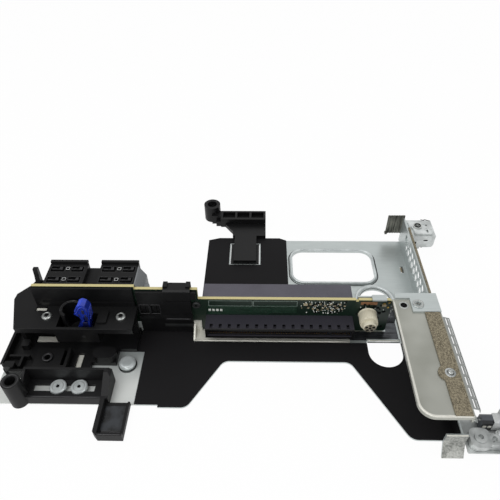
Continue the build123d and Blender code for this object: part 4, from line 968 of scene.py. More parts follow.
@dataclass
class PlateDetail(Detail):
    """The plate's rolled rims and folds with painted highlight and painted shade, dark strips and a black corner of
    painted shade, the tab's painted shade and painted light on the slot floors.
    """

    # Rolled rims round the window and the ring: the pale beads are painted highlight, the dark grooves beside them
    # painted shade
    window_rims: tuple[Bead, ...] = (
        Bead("window_bead", POLISHED_HIGHLIGHT, rounded_loop((-5.1, 57.8, 2.1), 58.3, 33.3, 8.75), 0.9, 0.75, closed=True),
        Bead("window_groove", DARK_STEEL_AND_SHADE, rounded_loop((-5.1, 57.8, 1.02), 61.4, 36.4, 10.3), 0.36, 0.3, closed=True),
    )
    ring_rims: tuple[Bead, ...] = (
        Bead("ring_bead", POLISHED_HIGHLIGHT, arc((19.8, 25.7, 2.1), 12.0, -15, 195), 1.3, 0.75),
        Bead("ring_groove", DARK_STEEL_AND_SHADE, arc((19.8, 25.7, 2.0), 10.25, -10, 190), 0.34, 0.6),
    )
    web: Bead = Bead("web_bead", ZINC, line((9.9, -7.3, 2.1), (29.7, -7.3, 2.1)), 0.55, 0.7)
    # Painted highlight along the web's front rim, and painted shade at its foot
    web_front: tuple[Bead, ...] = (
        Bead("web_front_rim", BRIGHT_AND_HIGHLIGHT, line((9.9, -8.0, 2.2), (29.6, -8.0, 2.2)), 0.42, 0.7),
        Bead("web_front_foot", DARK_STEEL_AND_SHADE, line((9.9, -8.75, 1.35), (29.6, -8.75, 1.35)), 0.3),
    )
    # The bracket's front edge carries a painted highlight
    folds: tuple[Bead, ...] = (
        Bead("bracket_edge", BRIGHT_AND_HIGHLIGHT, line((-96.8, -8.9, 1.95), (-1.3, -8.9, 1.95)), 0.42),
        Bead("wall_top_fold", ZINC, line((48.9, 13.4, 21.95), (48.9, 81.6, 21.95)), 0.32),
    )
    # The tab's face in painted shade, and a painted highlight along its rolled top edge
    tab: tuple[Piece, ...] = (
        Folded(
            "tab_skin", TAB_SHADE, ((-76.66, 15.6), (-76.66, 8.3), (-80.86, 0.45)), 0.13, 36.95, 48.05, smooth=False
        ),
        Bead("tab_top_edge", BRIGHT_AND_HIGHLIGHT, line((37.2, -76.5, 15.65), (47.8, -76.5, 15.65)), 0.38),
    )
    # A black corner of painted shade on the plate under the shelf
    film_corner: Blocks = Blocks("film_corner", FILM, [(-128.2, -9.2, 1.2)], [(2.3, 8.2, 0.18)], 0.05)
    box_floor_film: Blocks = Blocks("box_floor_film", FILM, [(-170.5, 3.2, 1.2)], [(9.0, 4.6, 0.18)], 0.05)
    catches: tuple[Blocks, ...] = (
        Blocks("key_hole_catch", SHADED_CLIP, [(43.9, 55.5, 0.5)], [(0.7, 3.0, 0.35)], 0.2),
        Blocks("brass_catch", CERAMIC, [(42.9, 55.5, 0.75)], [(0.5, 2.2, 0.3)], 0.3),
    )
    # Painted shade and reflection: dark steel laid on the plate in front of and under the board
    plate_shade_strips: tuple[Blocks, ...] = (
        Blocks("ground_strip", OILED_STEEL_AND_SHADE, [(14.4, -3.6, 1.12)], [(15.2, 3.5, 0.12)], 0.05),
        Blocks("ground_strip_wing", OILED_STEEL_AND_SHADE, [(26.0, 4.6, 1.12)], [(3.6, 4.8, 0.12)], 0.05),
    )
    # Painted light: pale zinc on the slot floors, which lie in the mouldings' shadow
    lit_slot_floors: tuple[Blocks, ...] = (
        Blocks("base_slot_floor", BRIGHT_AND_HIGHLIGHT, [(-186.3, -10.4, 3.3)], [(6.7, 1.9, 0.4)], 0.05),
        Blocks("shelf_slot_floor", BRIGHT_AND_HIGHLIGHT, [(-186.7, -4.3, 24.2)], [(3.0, 0.85, 0.3)], 0.05),
        Blocks("cross_slot_floor", BRIGHT_AND_HIGHLIGHT, [(-163.4, -26.0, 2.2)], [(1.7, 4.8, 0.3)], 0.05),
    )

    def build(self) -> None:
        """Add the rims, the folds, the tab's skin of painted shade and the thin blocks laid on the plate."""
        self.add(*self.window_rims, *self.ring_rims, self.web, self.film_corner, *self.catches, self.box_floor_film)
        self.add(*self.plate_shade_strips, *self.web_front, *self.tab, *self.lit_slot_floors, *self.folds)


@dataclass
class FlangeDetail(Detail):
    """The flange's hem in painted highlight, its rivet, the gasket's shoulder, the rings pressed round its holes and
    painted shade in the locating hole.
    """

    hem_x: tuple[float, float] = (22.55, 47.4)
    hem_y: tuple[float, float] = (-73.95, 0.6)
    hem_z: float = 29.55
    hem_corner: float = 7.4
    rivet: Point = (42.1, -50.0, 30.8)
    rivet_dome: Profile = ((0.0, 0.0), (1.5, 0.0), (1.35, 0.55), (0.8, 0.85), (0.0, 0.95))
    dome_lift: float = 0.15
    screw_hole: Point = (35.8, -3.5, 31.42)
    locating_hole: Point = (27.7, -3.5, 30.0)
    # A dark disc of painted shade inside the locating hole
    hole_shade: Profile = ((0.0, -0.9), (1.9, -0.9), (1.9, -0.35), (0.0, -0.3))
    shoulder: Point = (40.5, -50.0, 30.82)
    shoulder_radius: float = 4.3

    def hem_path(self) -> np.ndarray:
        """Run down the left edge, round the front left corner and along the front.

        Returns:
            n by 3 array in metres.
        """
        (left, right), (front, rear), z = self.hem_x, self.hem_y, self.hem_z
        turn = (left + self.hem_corner, front + self.hem_corner, z)
        down = line((left, rear, z), (left, turn[1], z), count=20)
        along = line((turn[0], front, z), (right, front, z))
        return np.concatenate([down, arc(turn, self.hem_corner, 180, 270, 14)[1:], along[1:]])

    def build(self) -> None:
        """Add the hem, the rivet, the rings, the painted shade in the locating hole and the shoulder."""
        # The hem's bright zinc is a painted highlight along its rolled edge
        self.add(Bead("flange_hem", BRIGHT_AND_HIGHLIGHT, self.hem_path(), 0.72, 0.8))
        self.add(*rings("rivet_flare", CAST, [self.rivet], 2.3, 1.1))
        head = (self.rivet[0], self.rivet[1], self.rivet[2] + self.dome_lift)
        self.add(Turned("rivet_dome", NICKEL, self.rivet_dome, [head]))
        self.add(*rings("screw_hole_rim", NICKEL, [self.screw_hole], 2.6, 1.3))
        self.add(*rings("locating_hole_rim", CAST, [self.locating_hole], 2.4, 0.7))
        self.add(Turned("locating_hole_nut", SHADOW, self.hole_shade, [self.locating_hole]))
        shoulder = arc(self.shoulder, self.shoulder_radius, 118, 242, 24)
        self.add(Bead("gasket_shoulder", GASKET, shoulder, 0.3, 0.5))


@dataclass
class BoardDetail(Detail):
    """Printed outlines, soldered parts, traces, spring and bare copper on the board's front face."""

    seed: int = 7
    face_y: float = -0.05
    outline_x: tuple[tuple[float, float], ...] = ((-86.8, -60.8), (-60.0, -34.0))
    outline_z: tuple[float, float] = (24.1, 28.6)
    marks_x: tuple[float, float] = (-86.6, -79.6)
    marks_z: float = 20.4
    mark_count: int = 4
    mark_half: Point = (0.75, 0.04, 0.95)
    cluster: Area = (-33.0, -12.0, -3.0, 18.4, 28.8)
    by_knob: Area = (-1.0, 16.0, 20.5, 6.0, 27.0)
    teeth_x: tuple[float, float] = (21.9, 23.4)
    teeth_y: float = 0.45
    teeth_z: tuple[float, float] = (15.0, 28.0)
    tooth_half: Point = (0.3, 0.25, 0.42)
    tooth_count: int = 9
    trace_count: int = 10
    trace_x: tuple[float, float] = (-88.0, -34.0)
    trace_z: float = 16.9
    trace_pitch: float = 0.72
    jog_x: tuple[float, float] = (-70.0, -45.0)
    jog: float = 1.5
    spring: Blocks = Blocks("board_end_spring", OILED_STEEL_AND_SHADE, [(24.1, 0.9, 18.6)], [(2.7, 0.3, 10.2)], 0.08)
    copper: Blocks = Blocks("bare_copper", BARE_COPPER, [(8.5, -0.1, 27.4)], [(4.9, 0.1, 1.2)], 0.1)
    gold_pads: Blocks = Blocks(
        "gold_pads", GOLD, [(17.6, -0.1, 27.2), (20.4, -0.1, 28.2), (20.2, -0.1, 24.0)], [(0.6, 0.12, 0.5)], 0.15
    )

    def build(self) -> None:
        """Add the print, the parts, the spring, the traces and the copper. The draws keep this order."""
        rng = np.random.default_rng(self.seed)
        self._print()
        self.add(
            scatter("ceramic_chips", CERAMIC, rng, 7, (0.2, 0.42), self.cluster),
            scatter("tinned_pads", WHITE_INK, rng, 84, (0.14, 0.32), self.cluster),
            scatter("dark_chips", SHADOW, rng, 40, (0.35, 0.8), self.cluster),
            scatter("filter_chips", SHADOW, rng, 34, (0.35, 0.95), self.by_knob),
            scatter("filter_pads", WHITE_INK, rng, 16, (0.12, 0.3), self.by_knob),
            self.spring,
        )
        count = self.tooth_count
        teeth = [rng.uniform(*self.teeth_x, count), np.full(count, self.teeth_y), rng.uniform(*self.teeth_z, count)]
        self.add(Blocks("spring_teeth", NICKEL, np.stack(teeth, -1), [self.tooth_half], 0.5))
        self._traces(rng)
        self.add(self.copper, self.gold_pads)

    def _print(self) -> None:
        """Draw two plain rectangles and a row of block marks."""
        low, high = self.outline_z
        for number, (left, right) in enumerate(self.outline_x):
            middle = ((left + right) / 2, self.face_y, (low + high) / 2)
            loop = rounded_loop(middle, right - left, high - low, 0.1, upright=True)
            self.add(Bead(f"printed_outline_{number}", DIM_INK, loop, 0.13, 0.4, FORWARD, True, 6))
        count = self.mark_count
        marks = [np.linspace(*self.marks_x, count), np.full(count, self.face_y), np.full(count, self.marks_z)]
        self.add(Blocks("printed_blocks", WHITE_INK, np.stack(marks, -1), [self.mark_half], 0.1))

    def _traces(self, rng: np.random.Generator) -> None:
        """Run masked copper lines along the board, each with one jog.

        Args:
            rng: source of the jogs' places.
        """
        (left, right), y = self.trace_x, self.face_y
        for number in range(self.trace_count):
            z = self.trace_z + number * self.trace_pitch
            turn = rng.uniform(*self.jog_x)
            high = z + self.jog
            path = line((left, y, z), (turn, y, z), (turn + self.jog, y, high), (right, y, high))
            self.add(Bead(f"copper_trace_{number}", MASKED_COPPER, path, 0.14, 0.35, FORWARD, sides=6))


@dataclass
class RearFaceDetail(Detail):
    """The board's rear face: soldered tails of the front slot, small parts and traces, hidden in the photograph."""

    seed: int = 11
    face_y: float = 2.0
    tails_x: tuple[float, float] = (-87.5, -1.5)
    tails_z: tuple[float, ...] = (9.4, 10.9, 12.9, 14.4)
    tail_columns: int = 44
    tail_shift: float = 0.9
    tail_half: Point = (0.36, 0.22, 0.36)
    part_areas: tuple[tuple[str, Area, int], ...] = (
        ("left", (-126.0, -108.0, -94.0, 5.0, 27.0), 34),
        ("under", (-88.0, -40.0, 0.0, 16.2, 20.3), 30),
    )
    trace_count: int = 7
    trace_y: float = 2.04
    trace_x: tuple[float, ...] = (-126.0, -96.0, -94.0, -2.0)
    trace_z: float = 3.4
    trace_pitch: float = 0.7
    trace_drop: float = 2.0

    def build(self) -> None:
        """Add the tails, the parts and the traces. The draws keep this order."""
        rng = np.random.default_rng(self.seed)
        x, z = np.meshgrid(np.linspace(*self.tails_x, self.tail_columns), np.array(self.tails_z), indexing="ij")
        shift = (np.arange(len(self.tails_z)) % 2)[None] * self.tail_shift
        centres = np.stack([x + shift, np.full_like(x, self.face_y + 0.1), z], -1).reshape(-1, 3)
        self.add(Blocks("solder_tails", NICKEL, centres, [self.tail_half], 0.8, 5, 8))
        for name, area, count in self.part_areas:
            self.add(
                scatter(f"rear_chips_{name}", CERAMIC, rng, count, (0.4, 0.8), area, self.face_y, 1.0),
                scatter(f"rear_pads_{name}", WHITE_INK, rng, count, (0.25, 0.45), area, self.face_y, 1.0),
            )
        for number in range(self.trace_count):
            low = self.trace_z + number * self.trace_pitch
            heights = (low + self.trace_drop, low + self.trace_drop, low, low)
            path = line(*((x, self.trace_y, z) for x, z in zip(self.trace_x, heights)))
            self.add(Bead(f"rear_trace_{number}", MASKED_COPPER, path, 0.14, 0.35, FORWARD, sides=6))


@dataclass
class ConnectorDetail(Detail):
    """Frames, bars and keys at the ports of the mating blocks, and the ribs down their backs."""

    lefts: tuple[float, ...] = (-185.0, -153.6)
    rows: tuple[float, ...] = (7.0, 16.0)
    ports: tuple[tuple[float, float], ...] = ((5.7, 8.8), (17.8, 7.8))
    port_depth: float = 5.0
    frame_z: float = 38.52
    bars_z: float = 38.0
    bar_halves: tuple[Point, ...] = ((1.5, 0.3, 0.6), (0.9, 1.1, 0.55))
    key_x: float = 12.0
    key_z: float = 39.02
    key_side: float = 2.0
    rib_count: int = 6
    rib_left: float = 2.2
    rib_pitch: float = 3.72
    rib_y: float = 22.6
    rib_z: tuple[float, float] = (15.2, 38.4)

    def build(self) -> None:
        """Add each port's marks, each row's key and each block's ribs."""
        for block, left in enumerate(self.lefts):
            for row, y in enumerate(self.rows):
                for port, (along, width) in enumerate(self.ports):
                    self._port(f"{block}_{row}_{port}", left + along, y, width)
                key = rounded_loop((left + self.key_x, y, self.key_z), self.key_side, self.key_side, 0.2)
                self.add(Bead(f"port_key_{block}_{row}", GREY_ABS, key, 0.15, 0.7, closed=True, sides=6))
            for rib in range(self.rib_count):
                x = left + self.rib_left + rib * self.rib_pitch
                low, high = self.rib_z
                path = line((x, self.rib_y, low), (x, self.rib_y, high))
                self.add(Bead(f"block_rib_{block}_{rib}", NYLON, path, 0.32, 0.7, REARWARD, sides=8))

    def _port(self, number: str, x: float, y: float, width: float) -> None:
        """Add one port's frame and the bars inside it.

        Args:
            number: the end of the pieces' names.
            x: the port's middle.
            y: the port's row.
            width: the frame's size along X.
        """
        frame = rounded_loop((x, y, self.frame_z), width, self.port_depth, 0.3)
        self.add(Bead(f"port_frame_{number}", EDGE_HIGHLIGHT, frame, 0.12, 0.6, closed=True, sides=6))
        bars = [(x - 2.2, y, self.bars_z), (x + 1.8, y + 0.8, self.bars_z)]
        self.add(Blocks(f"port_bars_{number}", EDGE_HIGHLIGHT, bars, self.bar_halves, 0.12))


@dataclass
class MouldingDetail(Detail):
    """Painted highlights on the edges and rims of the black mouldings at the left, and inserts."""

    collar: Point = (-166.5, -8.8, 31.0)
    boss: Point = (-180.5, -27.4, 8.8)
    windows_x: tuple[float, ...] = (-125.6, -119.0)
    window_y: float = -2.05
    window_z: tuple[float, float] = (19.0, 26.5)
    window_width: float = 5.8
    edges: tuple[Piece, ...] = (
        Bead("shelf_front_edge", NYLON, line((-198.0, -19.45, 24.9), (-129.8, -19.45, 24.9)), 0.2),
        Bead("cover_ledge_edge", EDGE_HIGHLIGHT, line((-112.8, -4.5, 16.9), (-97.9, -4.5, 16.9)), 0.28),
        Blocks("cover_foot_strip", DARK_STEEL_AND_SHADE, [(-106.2, -2.1, 8.2)], [(8.6, 0.15, 1.1)], 0.1),
        Bead("lower_wall_edge", EDGE_HIGHLIGHT, line((-206.3, -33.0, 8.9), (-206.3, -7.0, 8.9)), 0.35),
    )

    def build(self) -> None:
        """Add the rims, the cover's windows, the edges and the foot strip."""
        self.add(
            Bead("collar_rim", EDGE_HIGHLIGHT, arc(self.collar, 5.9, 10, 200), 0.3, 0.7),
            Bead("collar_lip", EDGE_HIGHLIGHT, arc(self.collar, 5.0, 10, 200), 0.22, 0.7),
            *rings("boss_rim", EDGE_HIGHLIGHT, [self.boss], 2.4, 1.2),
        )
        low, high = self.window_z
        for number, x in enumerate(self.windows_x):
            middle = (x, self.window_y, (low + high) / 2)
            loop = rounded_loop(middle, self.window_width, high - low + 0.3, 0.4, upright=True)
            self.add(Bead(f"cover_window_{number}", EDGE_HIGHLIGHT, loop, 0.22, 0.6, FORWARD, True, 8))
        self.add(*self.edges)


@dataclass
class ScrewDetail(Detail):
    """Lobed drives in painted shade, rolled rims and domes of the screws and the stud, and a painted shadow ring round
    the stud.
    """

    shelf: tuple[Point, ...] = ((-181.5, -10.4, 26.5), (-137.7, -10.4, 26.5))
    tray: tuple[Point, ...] = ((-170.5, -44.0, 4.5), (-158.4, -44.0, 4.5))
    stud: Point = (-134.4, -27.0, 4.2)
    # Height of the painted shadow ring round the stud's foot
    shadow_ring_z: float = 1.3
    drive: Profile = ((0.0, -0.02), (1.35, -0.02), (1.35, 0.04), (0.0, 0.05))
    tray_drive_share: float = 0.72
    dome: Profile = ((0.0, -0.1), (4.1, -0.1), (4.1, 0.1), (3.85, 0.24), (3.0, 0.28), (0.0, 0.3))

    def build(self) -> None:
        """Add the drives, the rims, the stud's dome and the painted shadow ring round its foot."""
        small = tuple((r * self.tray_drive_share, h) for r, h in self.drive)
        self.add(
            Turned("shelf_screw_drives", SHADOW, self.drive, self.shelf, lobes=6, swell=0.16),
            *rings("shelf_screw_rims", NICKEL, self.shelf, 2.1, 0.5),
            Turned("tray_screw_drives", SHADOW, small, self.tray, lobes=6, swell=0.16),
            *rings("tray_screw_grooves", CAST, self.tray, 3.1, 0.4, 0.3),
            Turned("stud_dome", POLISHED_HIGHLIGHT, self.dome, [self.stud]),
            *rings("stud_shoulder", DARK_STEEL_AND_SHADE, [(self.stud[0], self.stud[1], self.shadow_ring_z)], 5.0, 1.0),
        )


@dataclass
class LeverDetail(Detail):
    """The lever's raised border, its ribs, and painted shade in the hollows in its side."""

    front_y: float = -16.25
    rear_y: float = -10.7
    border: Profile = ((-160.4, 34.4), (-157.6, 39.2), (-155.9, 40.4), (-154.8, 39.6), (-153.9, 37.2), (-154.6, 32.2))
    rib_count: int = 6
    rib_foot: tuple[float, float] = (-153.2, 30.2)
    rib_run: tuple[float, float] = (0.55, 7.2)
    top_rib_count: int = 3
    top_rib_foot: tuple[float, float] = (-160.9, 36.0)
    top_rib_step: tuple[float, float] = (1.35, 2.1)
    # Painted shade: dark blue patches on the lever's front face
    hollows: Blocks = Blocks(
        "lever_hollows",
        LEVER_SHADE,
        [(-156.2, -16.2, 36.0), (-157.0, -16.2, 25.2), (-155.3, -16.2, 31.0), (-158.9, -16.2, 33.0)],
        [(0.8, 0.14, 1.6), (1.6, 0.12, 2.0), (0.9, 0.12, 2.6), (0.5, 0.12, 1.4)],
        0.35,
        body="lever",
    )

    def build(self) -> None:
        """Add the border, the ribs and the painted shade, which swing with the lever."""
        border = line(*((x, self.front_y, z) for x, z in self.border))
        self.add(Bead("lever_border", ACETAL, border, 0.42, 0.7, FORWARD, body="lever"))
        for number in range(self.rib_count):
            share = number / (self.rib_count - 1)
            x, z = self.rib_foot[0] + self.rib_run[0] * share, self.rib_foot[1] + self.rib_run[1] * share
            self._rib(f"lever_rib_{number}", x, z, 0.4, 0.34)
        self.add(self.hollows)
        for number in range(self.top_rib_count):
            x, z = (foot + step * number for foot, step in zip(self.top_rib_foot, self.top_rib_step))
            self._rib(f"lever_top_rib_{number}", x, z, 0.5, 0.36)

    def _rib(self, name: str, x: float, z: float, inset: float, half_width: float) -> None:
        """Add one rib across the lever, short of each side by the inset."""
        path = line((x, self.front_y + inset, z), (x, self.rear_y - inset, z))
        self.add(Bead(name, ACETAL, path, half_width, body="lever"))


@dataclass
class KnobDetail(Detail):
    """The thumbscrew knob's fluted sleeve and recesses, and painted shade at its shoulder and on its nose."""

    axis_x: float = 8.4
    axis_z: float = 19.0
    nose_y: float = -12.0
    sleeve: Profile = ((0.0, 2.0), (5.2, 2.0), (5.33, 2.3), (5.33, 8.2), (5.2, 8.6), (0.0, 8.6))
    flutes: int = 30
    flute_share: float = 0.012
    recess_count: int = 5
    recess_radius: float = 2.15
    recess_half: Point = (0.92, 0.11, 0.8)
    # A ring of painted shade between the sleeve and the nose
    shoulder_radius: float = 4.35
    shoulder_y: float = -8.65
    # A disc of painted shade over the nose face
    nose_shade: Profile = ((0.0, -0.1), (3.35, -0.1), (3.35, 0.03), (0.0, 0.04))
    hub: Profile = ((0.0, -0.02), (0.85, -0.02), (0.85, 0.11), (0.0, 0.11))

    def round_axis(self, radius: float, y: float, turn: np.ndarray) -> np.ndarray:
        """Give the points at these turns round the knob's axis, in millimetres.

        Args:
            radius: how far from the axis.
            y: where along the axis.
            turn: angles in radians.

        Returns:
            n by 3 array.
        """
        x, z = self.axis_x + radius * np.cos(turn), self.axis_z + radius * np.sin(turn)
        return np.stack([x, np.full(len(turn), y), z], -1)

    def build(self) -> None:
        """Add the sleeve, the recesses and the painted shade at the shoulder and on the nose, which turn with the
        knob.
        """
        foot, nose = (self.axis_x, 0.0, self.axis_z), (self.axis_x, self.nose_y, self.axis_z)
        fifths = np.radians(90 + 360 / self.recess_count * np.arange(self.recess_count))
        spots = self.round_axis(self.recess_radius, self.nose_y, fifths)
        rim = self.round_axis(self.shoulder_radius, self.shoulder_y, np.linspace(0, 2 * math.pi, 49)[:-1])
        turns = {"body": "thumbscrew"}
        self.add(
            Turned("knob_flutes", NATURAL, self.sleeve, [foot], FORWARD, self.flutes, self.flute_share, 180, **turns),
            Blocks("knob_recesses", SHADOW, spots, [self.recess_half], 0.8, **turns),
            Bead("knob_shoulder", KNOB_SHADE, rim * MM, 0.3, 0.6, FORWARD, True, 8, **turns),
            Turned("knob_nose_face", KNOB_SHADE, self.nose_shade, [nose], FORWARD, **turns),
            Turned("knob_drive", SHADOW, self.hub, [nose], FORWARD, 6, 0.14, **turns),
        )


@dataclass
class TrayDetail(Detail):
    """The tray's rims and the line across its tab in painted highlight, and the gloss with painted reflection on the
    tab.
    """

    rims: tuple[tuple[str, np.ndarray], ...] = (
        ("tray_front_rim", line((-184.5, -52.5, 7.2), (-143.6, -52.5, 7.2))),
        ("tab_front_rim", line((-140.9, -73.8, 6.55), (-128.0, -73.8, 6.55))),
        ("tab_floor_line", line((-140.6, -70.6, 3.1), (-128.9, -70.6, 3.1))),
        ("post_rim", arc((-190.0, -51.5, 20.5), 4.0, 0, 360, 41)),
    )
    gloss: Blocks = Blocks("tab_gloss", GLOSS_AND_REFLECTION, [(-135.0, -62.6, 3.0)], [(5.6, 7.4, 0.07)], 0.06, body="tray")

    def build(self) -> None:
        """Add the rims and the gloss, which slide with the tray."""
        self.add(*(Bead(name, EDGE_HIGHLIGHT, path, 0.4, 0.6, body="tray") for name, path in self.rims), self.gloss)


@dataclass
class LatchDetail(Detail):
    """Cast skirts, rims, ribs and marks of the two card retainers, with painted shade in the front arm's crevices and
    round the rear rivet.
    """

    front_pivot: tuple[float, float] = (54.6, -76.0)
    rear_rivet: Point = (54.8, 77.6, 23.35)
    rear_block: tuple[Blocks, ...] = (
        Blocks(
            "rear_latch_skirts",
            LIT_CAST,
            [(57.0, 69.0, 15.9), (65.2, 76.6, 16.4)],
            [(8.6, 1.1, 5.0), (1.0, 8.2, 4.6)],
            0.3,
            11,
            24,
        ),
        Blocks(
            "rear_latch_marks",
            SHADOW,
            [(52.5, 67.85, 15.2), (59.4, 67.85, 17.6), (66.25, 73.0, 17.5), (66.25, 80.0, 15.5)],
            [(0.8, 0.06, 1.2), (1.5, 0.06, 0.5), (0.06, 1.4, 0.6), (0.06, 0.7, 1.2)],
            0.4,
        ),
    )
    rear_feet: Blocks = Blocks(
        "rear_latch_feet", SHADED_CLIP, [(55.4, 69.0, 11.2), (58.0, 69.0, 11.4)], [(0.8, 0.7, 1.2)], 0.5
    )
    rear_seam: tuple[Point, ...] = ((58.6, 84.9, 22.5), (60.4, 84.2, 22.5), (61.6, 85.0, 22.5), (64.6, 83.4, 22.5))
    rear_ribs: Blocks = Blocks(
        "rear_arm_ribs",
        LIT_CAST,
        [(61.3, 74.0, 22.4), (59.0, 80.4, 22.4)],
        [(2.6, 0.5, 0.35), (1.8, 0.4, 0.3)],
        0.4,
        body="rear_swing_plate",
    )
    crease_z: float = 12.7
    crease_radius: float = 4.85
    front_arm: tuple[Blocks, ...] = (
        Blocks(
            "front_arm_lobes",
            CAST,
            [(61.8, -79.3, 11.9), (67.2, -78.6, 12.8), (66.6, -73.6, 12.6)],
            [(3.4, 1.3, 1.5), (2.6, 1.6, 0.9), (2.8, 1.5, 1.0)],
            0.55,
            11,
            24,
            body="front_swing_arm",
        ),
        # Painted shade in the crevices of the front arm
        Blocks(
            "front_arm_marks",
            SHADOW,
            [(60.6, -74.2, 11.7), (64.0, -79.9, 13.0), (69.0, -76.2, 12.95)],
            [(1.4, 0.5, 0.1), (0.9, 0.4, 0.6), (0.5, 1.1, 0.15)],
            0.4,
            body="front_swing_arm",
        ),
    )
    spring_windows: Blocks = Blocks(
        "spring_windows", BRIGHT_AND_HIGHLIGHT, [(58.3, -70.02, 12.7), (60.9, -70.02, 12.7)], [(1.0, 0.1, 0.95)], 0.5
    )
    catch_lips: Blocks = Blocks(
        "catch_lips", GREY_ABS, [(64.3, -67.4, 17.0), (64.3, -70.0, 13.4)], [(2.0, 2.7, 0.3), (2.0, 0.18, 3.6)], 0.12
    )
    ridge_count: int = 4
    ridge_x: float = 68.6
    ridge_y: float = -69.72
    ridge_z: tuple[float, float] = (11.5, 17.5)
    ridge_half: Point = (1.7, 0.25, 0.45)

    def build(self) -> None:
        """Add the fixed pieces, and those that ride each swinging arm."""
        seam = line(*self.rear_seam, count=5)
        self.add(
            *self.rear_block,
            # Painted shade round the rear rivet
            *rings("rear_rivet_rim", SHADOW, [self.rear_rivet], 1.9, 0.8),
            Bead("rear_plate_seam", SHADOW, seam, 0.32, 0.6, body="rear_swing_plate"),
            self.rear_feet,
            self.rear_ribs,
        )
        crease = arc((*self.front_pivot, self.crease_z), self.crease_radius, 215, 395, 30)
        self.add(Bead("knuckle_crease", SHADOW, crease, 0.3, 0.7, body="front_swing_arm"), *self.front_arm)
        count = self.ridge_count
        ridges = [np.full(count, self.ridge_x), np.full(count, self.ridge_y), np.linspace(*self.ridge_z, count)]
        self.add(
            self.spring_windows,
            self.catch_lips,
            Blocks("catch_ridges", GREY_ABS, np.stack(ridges, -1), [self.ridge_half], 0.4),
        )


DETAILS = (
    PlateDetail,
    FlangeDetail,
    BoardDetail,
    RearFaceDetail,
    ConnectorDetail,
    MouldingDetail,
    ScrewDetail,
    LeverDetail,
    KnobDetail,
    TrayDetail,
    LatchDetail,
)


# ---- Studio


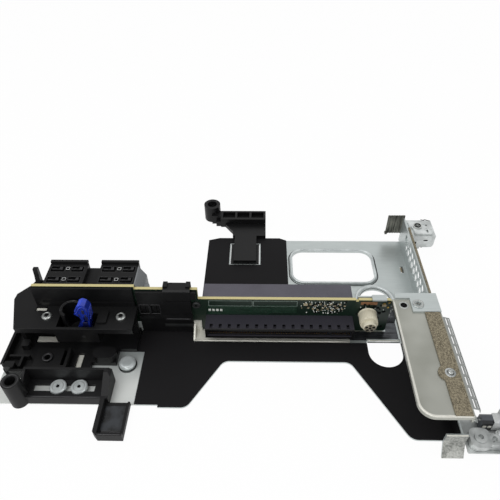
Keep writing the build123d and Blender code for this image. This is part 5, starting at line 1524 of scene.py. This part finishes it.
@dataclass
class Studio:
    """Camera, lamps, world and floor, in metres, degrees, pixels and watts.

    The camera is the one solved from the photograph's straight edges. Each lamp has its name, place, side and power.
    """

    eye: Point = (-0.055, -0.204, 0.256)
    pitch: float = 42.4
    yaw: float = -1.85
    roll: float = -0.92
    focal_px: float = 512.0
    frame_px: float = 500.0
    sensor_mm: float = 36.0
    clip: tuple[float, float] = (0.01, 20.0)
    aim: Point = (-0.05, 0.0, 0.0)
    lamps: tuple[tuple[str, Point, float, float], ...] = (
        ("key", (-0.55, -0.35, 1.0), 0.9, 5.8),
        ("fill", (0.75, -0.45, 0.8), 0.9, 2.2),
        ("front", (-0.15, -1.0, 0.42), 0.5, 1.6),
        ("rear", (0.1, 0.9, 0.8), 1.0, 1.6),
    )
    dome_strength: float = 0.48
    floor_z: float = -0.0002
    floor_reach: float = 2.0
    floor_glow: float = 0.96

    def camera(self) -> None:
        """Place the camera by its pitch, yaw and roll."""
        pitch, yaw, roll = (math.radians(a) for a in (self.pitch, self.yaw, self.roll))
        ahead = np.array([math.sin(yaw) * math.cos(pitch), math.cos(yaw) * math.cos(pitch), -math.sin(pitch)])
        right = np.array([math.cos(yaw), -math.sin(yaw), 0.0])
        up = np.cross(right, ahead)
        side = math.cos(roll) * right + math.sin(roll) * up
        head = -math.sin(roll) * right + math.cos(roll) * up
        turn = Matrix((side, head, -ahead)).transposed().to_4x4()
        data = bpy.data.cameras.new("photo_camera")
        data.sensor_width = self.sensor_mm
        data.lens = self.focal_px / self.frame_px * data.sensor_width
        data.clip_start, data.clip_end = self.clip
        camera = bpy.data.objects.new("photo_camera", data)
        camera.matrix_world = Matrix.Translation(self.eye) @ turn
        bpy.context.scene.collection.objects.link(camera)
        bpy.context.scene.camera = camera

    def lamp(self, name: str, place: Point, size: float, watts: float) -> None:
        """Add one soft square lamp aimed at the object.

        Args:
            name: the lamp's name.
            place: where it hangs.
            size: its side in metres.
            watts: its power.
        """
        data = bpy.data.lights.new(name, "AREA")
        data.shape = "SQUARE"
        data.size = size
        data.energy = watts
        lamp = bpy.data.objects.new(name, data)
        towards = (np.array(self.aim) - np.array(place)).tolist()
        turn = Vector(towards).to_track_quat("-Z", "Y").to_matrix().to_4x4()
        lamp.matrix_world = Matrix.Translation(place) @ turn
        bpy.context.scene.collection.objects.link(lamp)

    def lights(self) -> None:
        """Hang a large key, a fill, a front and a rear lamp, all soft."""
        for lamp in self.lamps:
            self.lamp(*lamp)

    def shown_white(self, tree: bpy.types.NodeTree) -> bpy.types.NodeSocket:
        """Work out which rays see the floor as white: those from the camera, from gloss and through glass.

        Args:
            tree: the floor's node tree.

        Returns:
            A factor socket that is 1 for those rays and 0 for the rest.
        """
        path = add_node(tree, "ShaderNodeLightPath").outputs
        either = calculate(tree, "MAXIMUM", path["Is Camera Ray"], path["Is Glossy Ray"])
        return calculate(tree, "MAXIMUM", either, path["Is Transmission Ray"])

    def world(self) -> None:
        """Light the scene from a pale grey dome that the camera sees as white."""
        world = bpy.data.worlds.new("studio_world")
        tree = blank_tree(world)
        dome = add_node(
            tree, "ShaderNodeBackground", inputs={"Color": linear("#ffffff"), "Strength": self.dome_strength}
        )
        path = add_node(tree, "ShaderNodeLightPath")
        white = add_node(tree, "ShaderNodeBackground", inputs={"Color": linear("#ffffff"), "Strength": 1.0})
        both = add_node(
            tree,
            "ShaderNodeMixShader",
            inputs={0: path.outputs["Is Camera Ray"], 1: dome.outputs[0], 2: white.outputs[0]},
        )
        add_node(tree, "ShaderNodeOutputWorld", inputs={"Surface": both.outputs[0]})
        bpy.context.scene.world = world

    def floor(self) -> None:
        """Lay a white floor that keeps a faint shadow."""
        corners = np.array([[-1, -1, 0], [1, -1, 0], [1, 1, 0], [-1, 1, 0]], float) * self.floor_reach
        corners[:, 2] = self.floor_z
        floor = mesh_object("studio_floor", corners, [[0, 1, 2, 3]])
        material = bpy.data.materials.new("white_paper")
        tree = blank_tree(material)
        paper = add_node(tree, "ShaderNodeBsdfDiffuse", inputs={"Color": linear("#f4f4f4")})
        glow = add_node(tree, "ShaderNodeEmission", inputs={"Color": linear("#ffffff"), "Strength": 1.0})
        shown = calculate(tree, "MULTIPLY", self.shown_white(tree), self.floor_glow)
        both = add_node(tree, "ShaderNodeMixShader", inputs={0: shown, 1: paper.outputs[0], 2: glow.outputs[0]})
        add_node(tree, "ShaderNodeOutputMaterial", inputs={"Surface": both.outputs[0]})
        floor.data.materials.append(material)

    def build(self) -> None:
        """Build the whole studio."""
        self.camera()
        self.lights()
        self.world()
        self.floor()
        bpy.context.scene.view_settings.view_transform = "Standard"


def dress_frame(nodes: dict[str, bpy.types.Object], wardrobe: Wardrobe) -> None:
    """Give every CAD node its finish.

    Args:
        nodes: CAD node name to object.
        wardrobe: the source of materials.
    """
    for name, piece in nodes.items():
        wardrobe.dress(piece, DRESS[name])
        LOG.info("dressed %s in %s", name, DRESS[name].name)


def main() -> None:
    logging.basicConfig(level=logging.INFO, format="%(name)s %(message)s")
    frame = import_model()
    wardrobe = Wardrobe()
    dress_frame(frame["nodes"], wardrobe)
    for kind in DETAILS:
        kind(wardrobe).build()
        LOG.info("built %s", kind.__name__)
    Studio().build()


if __name__ == "__main__":
    main()
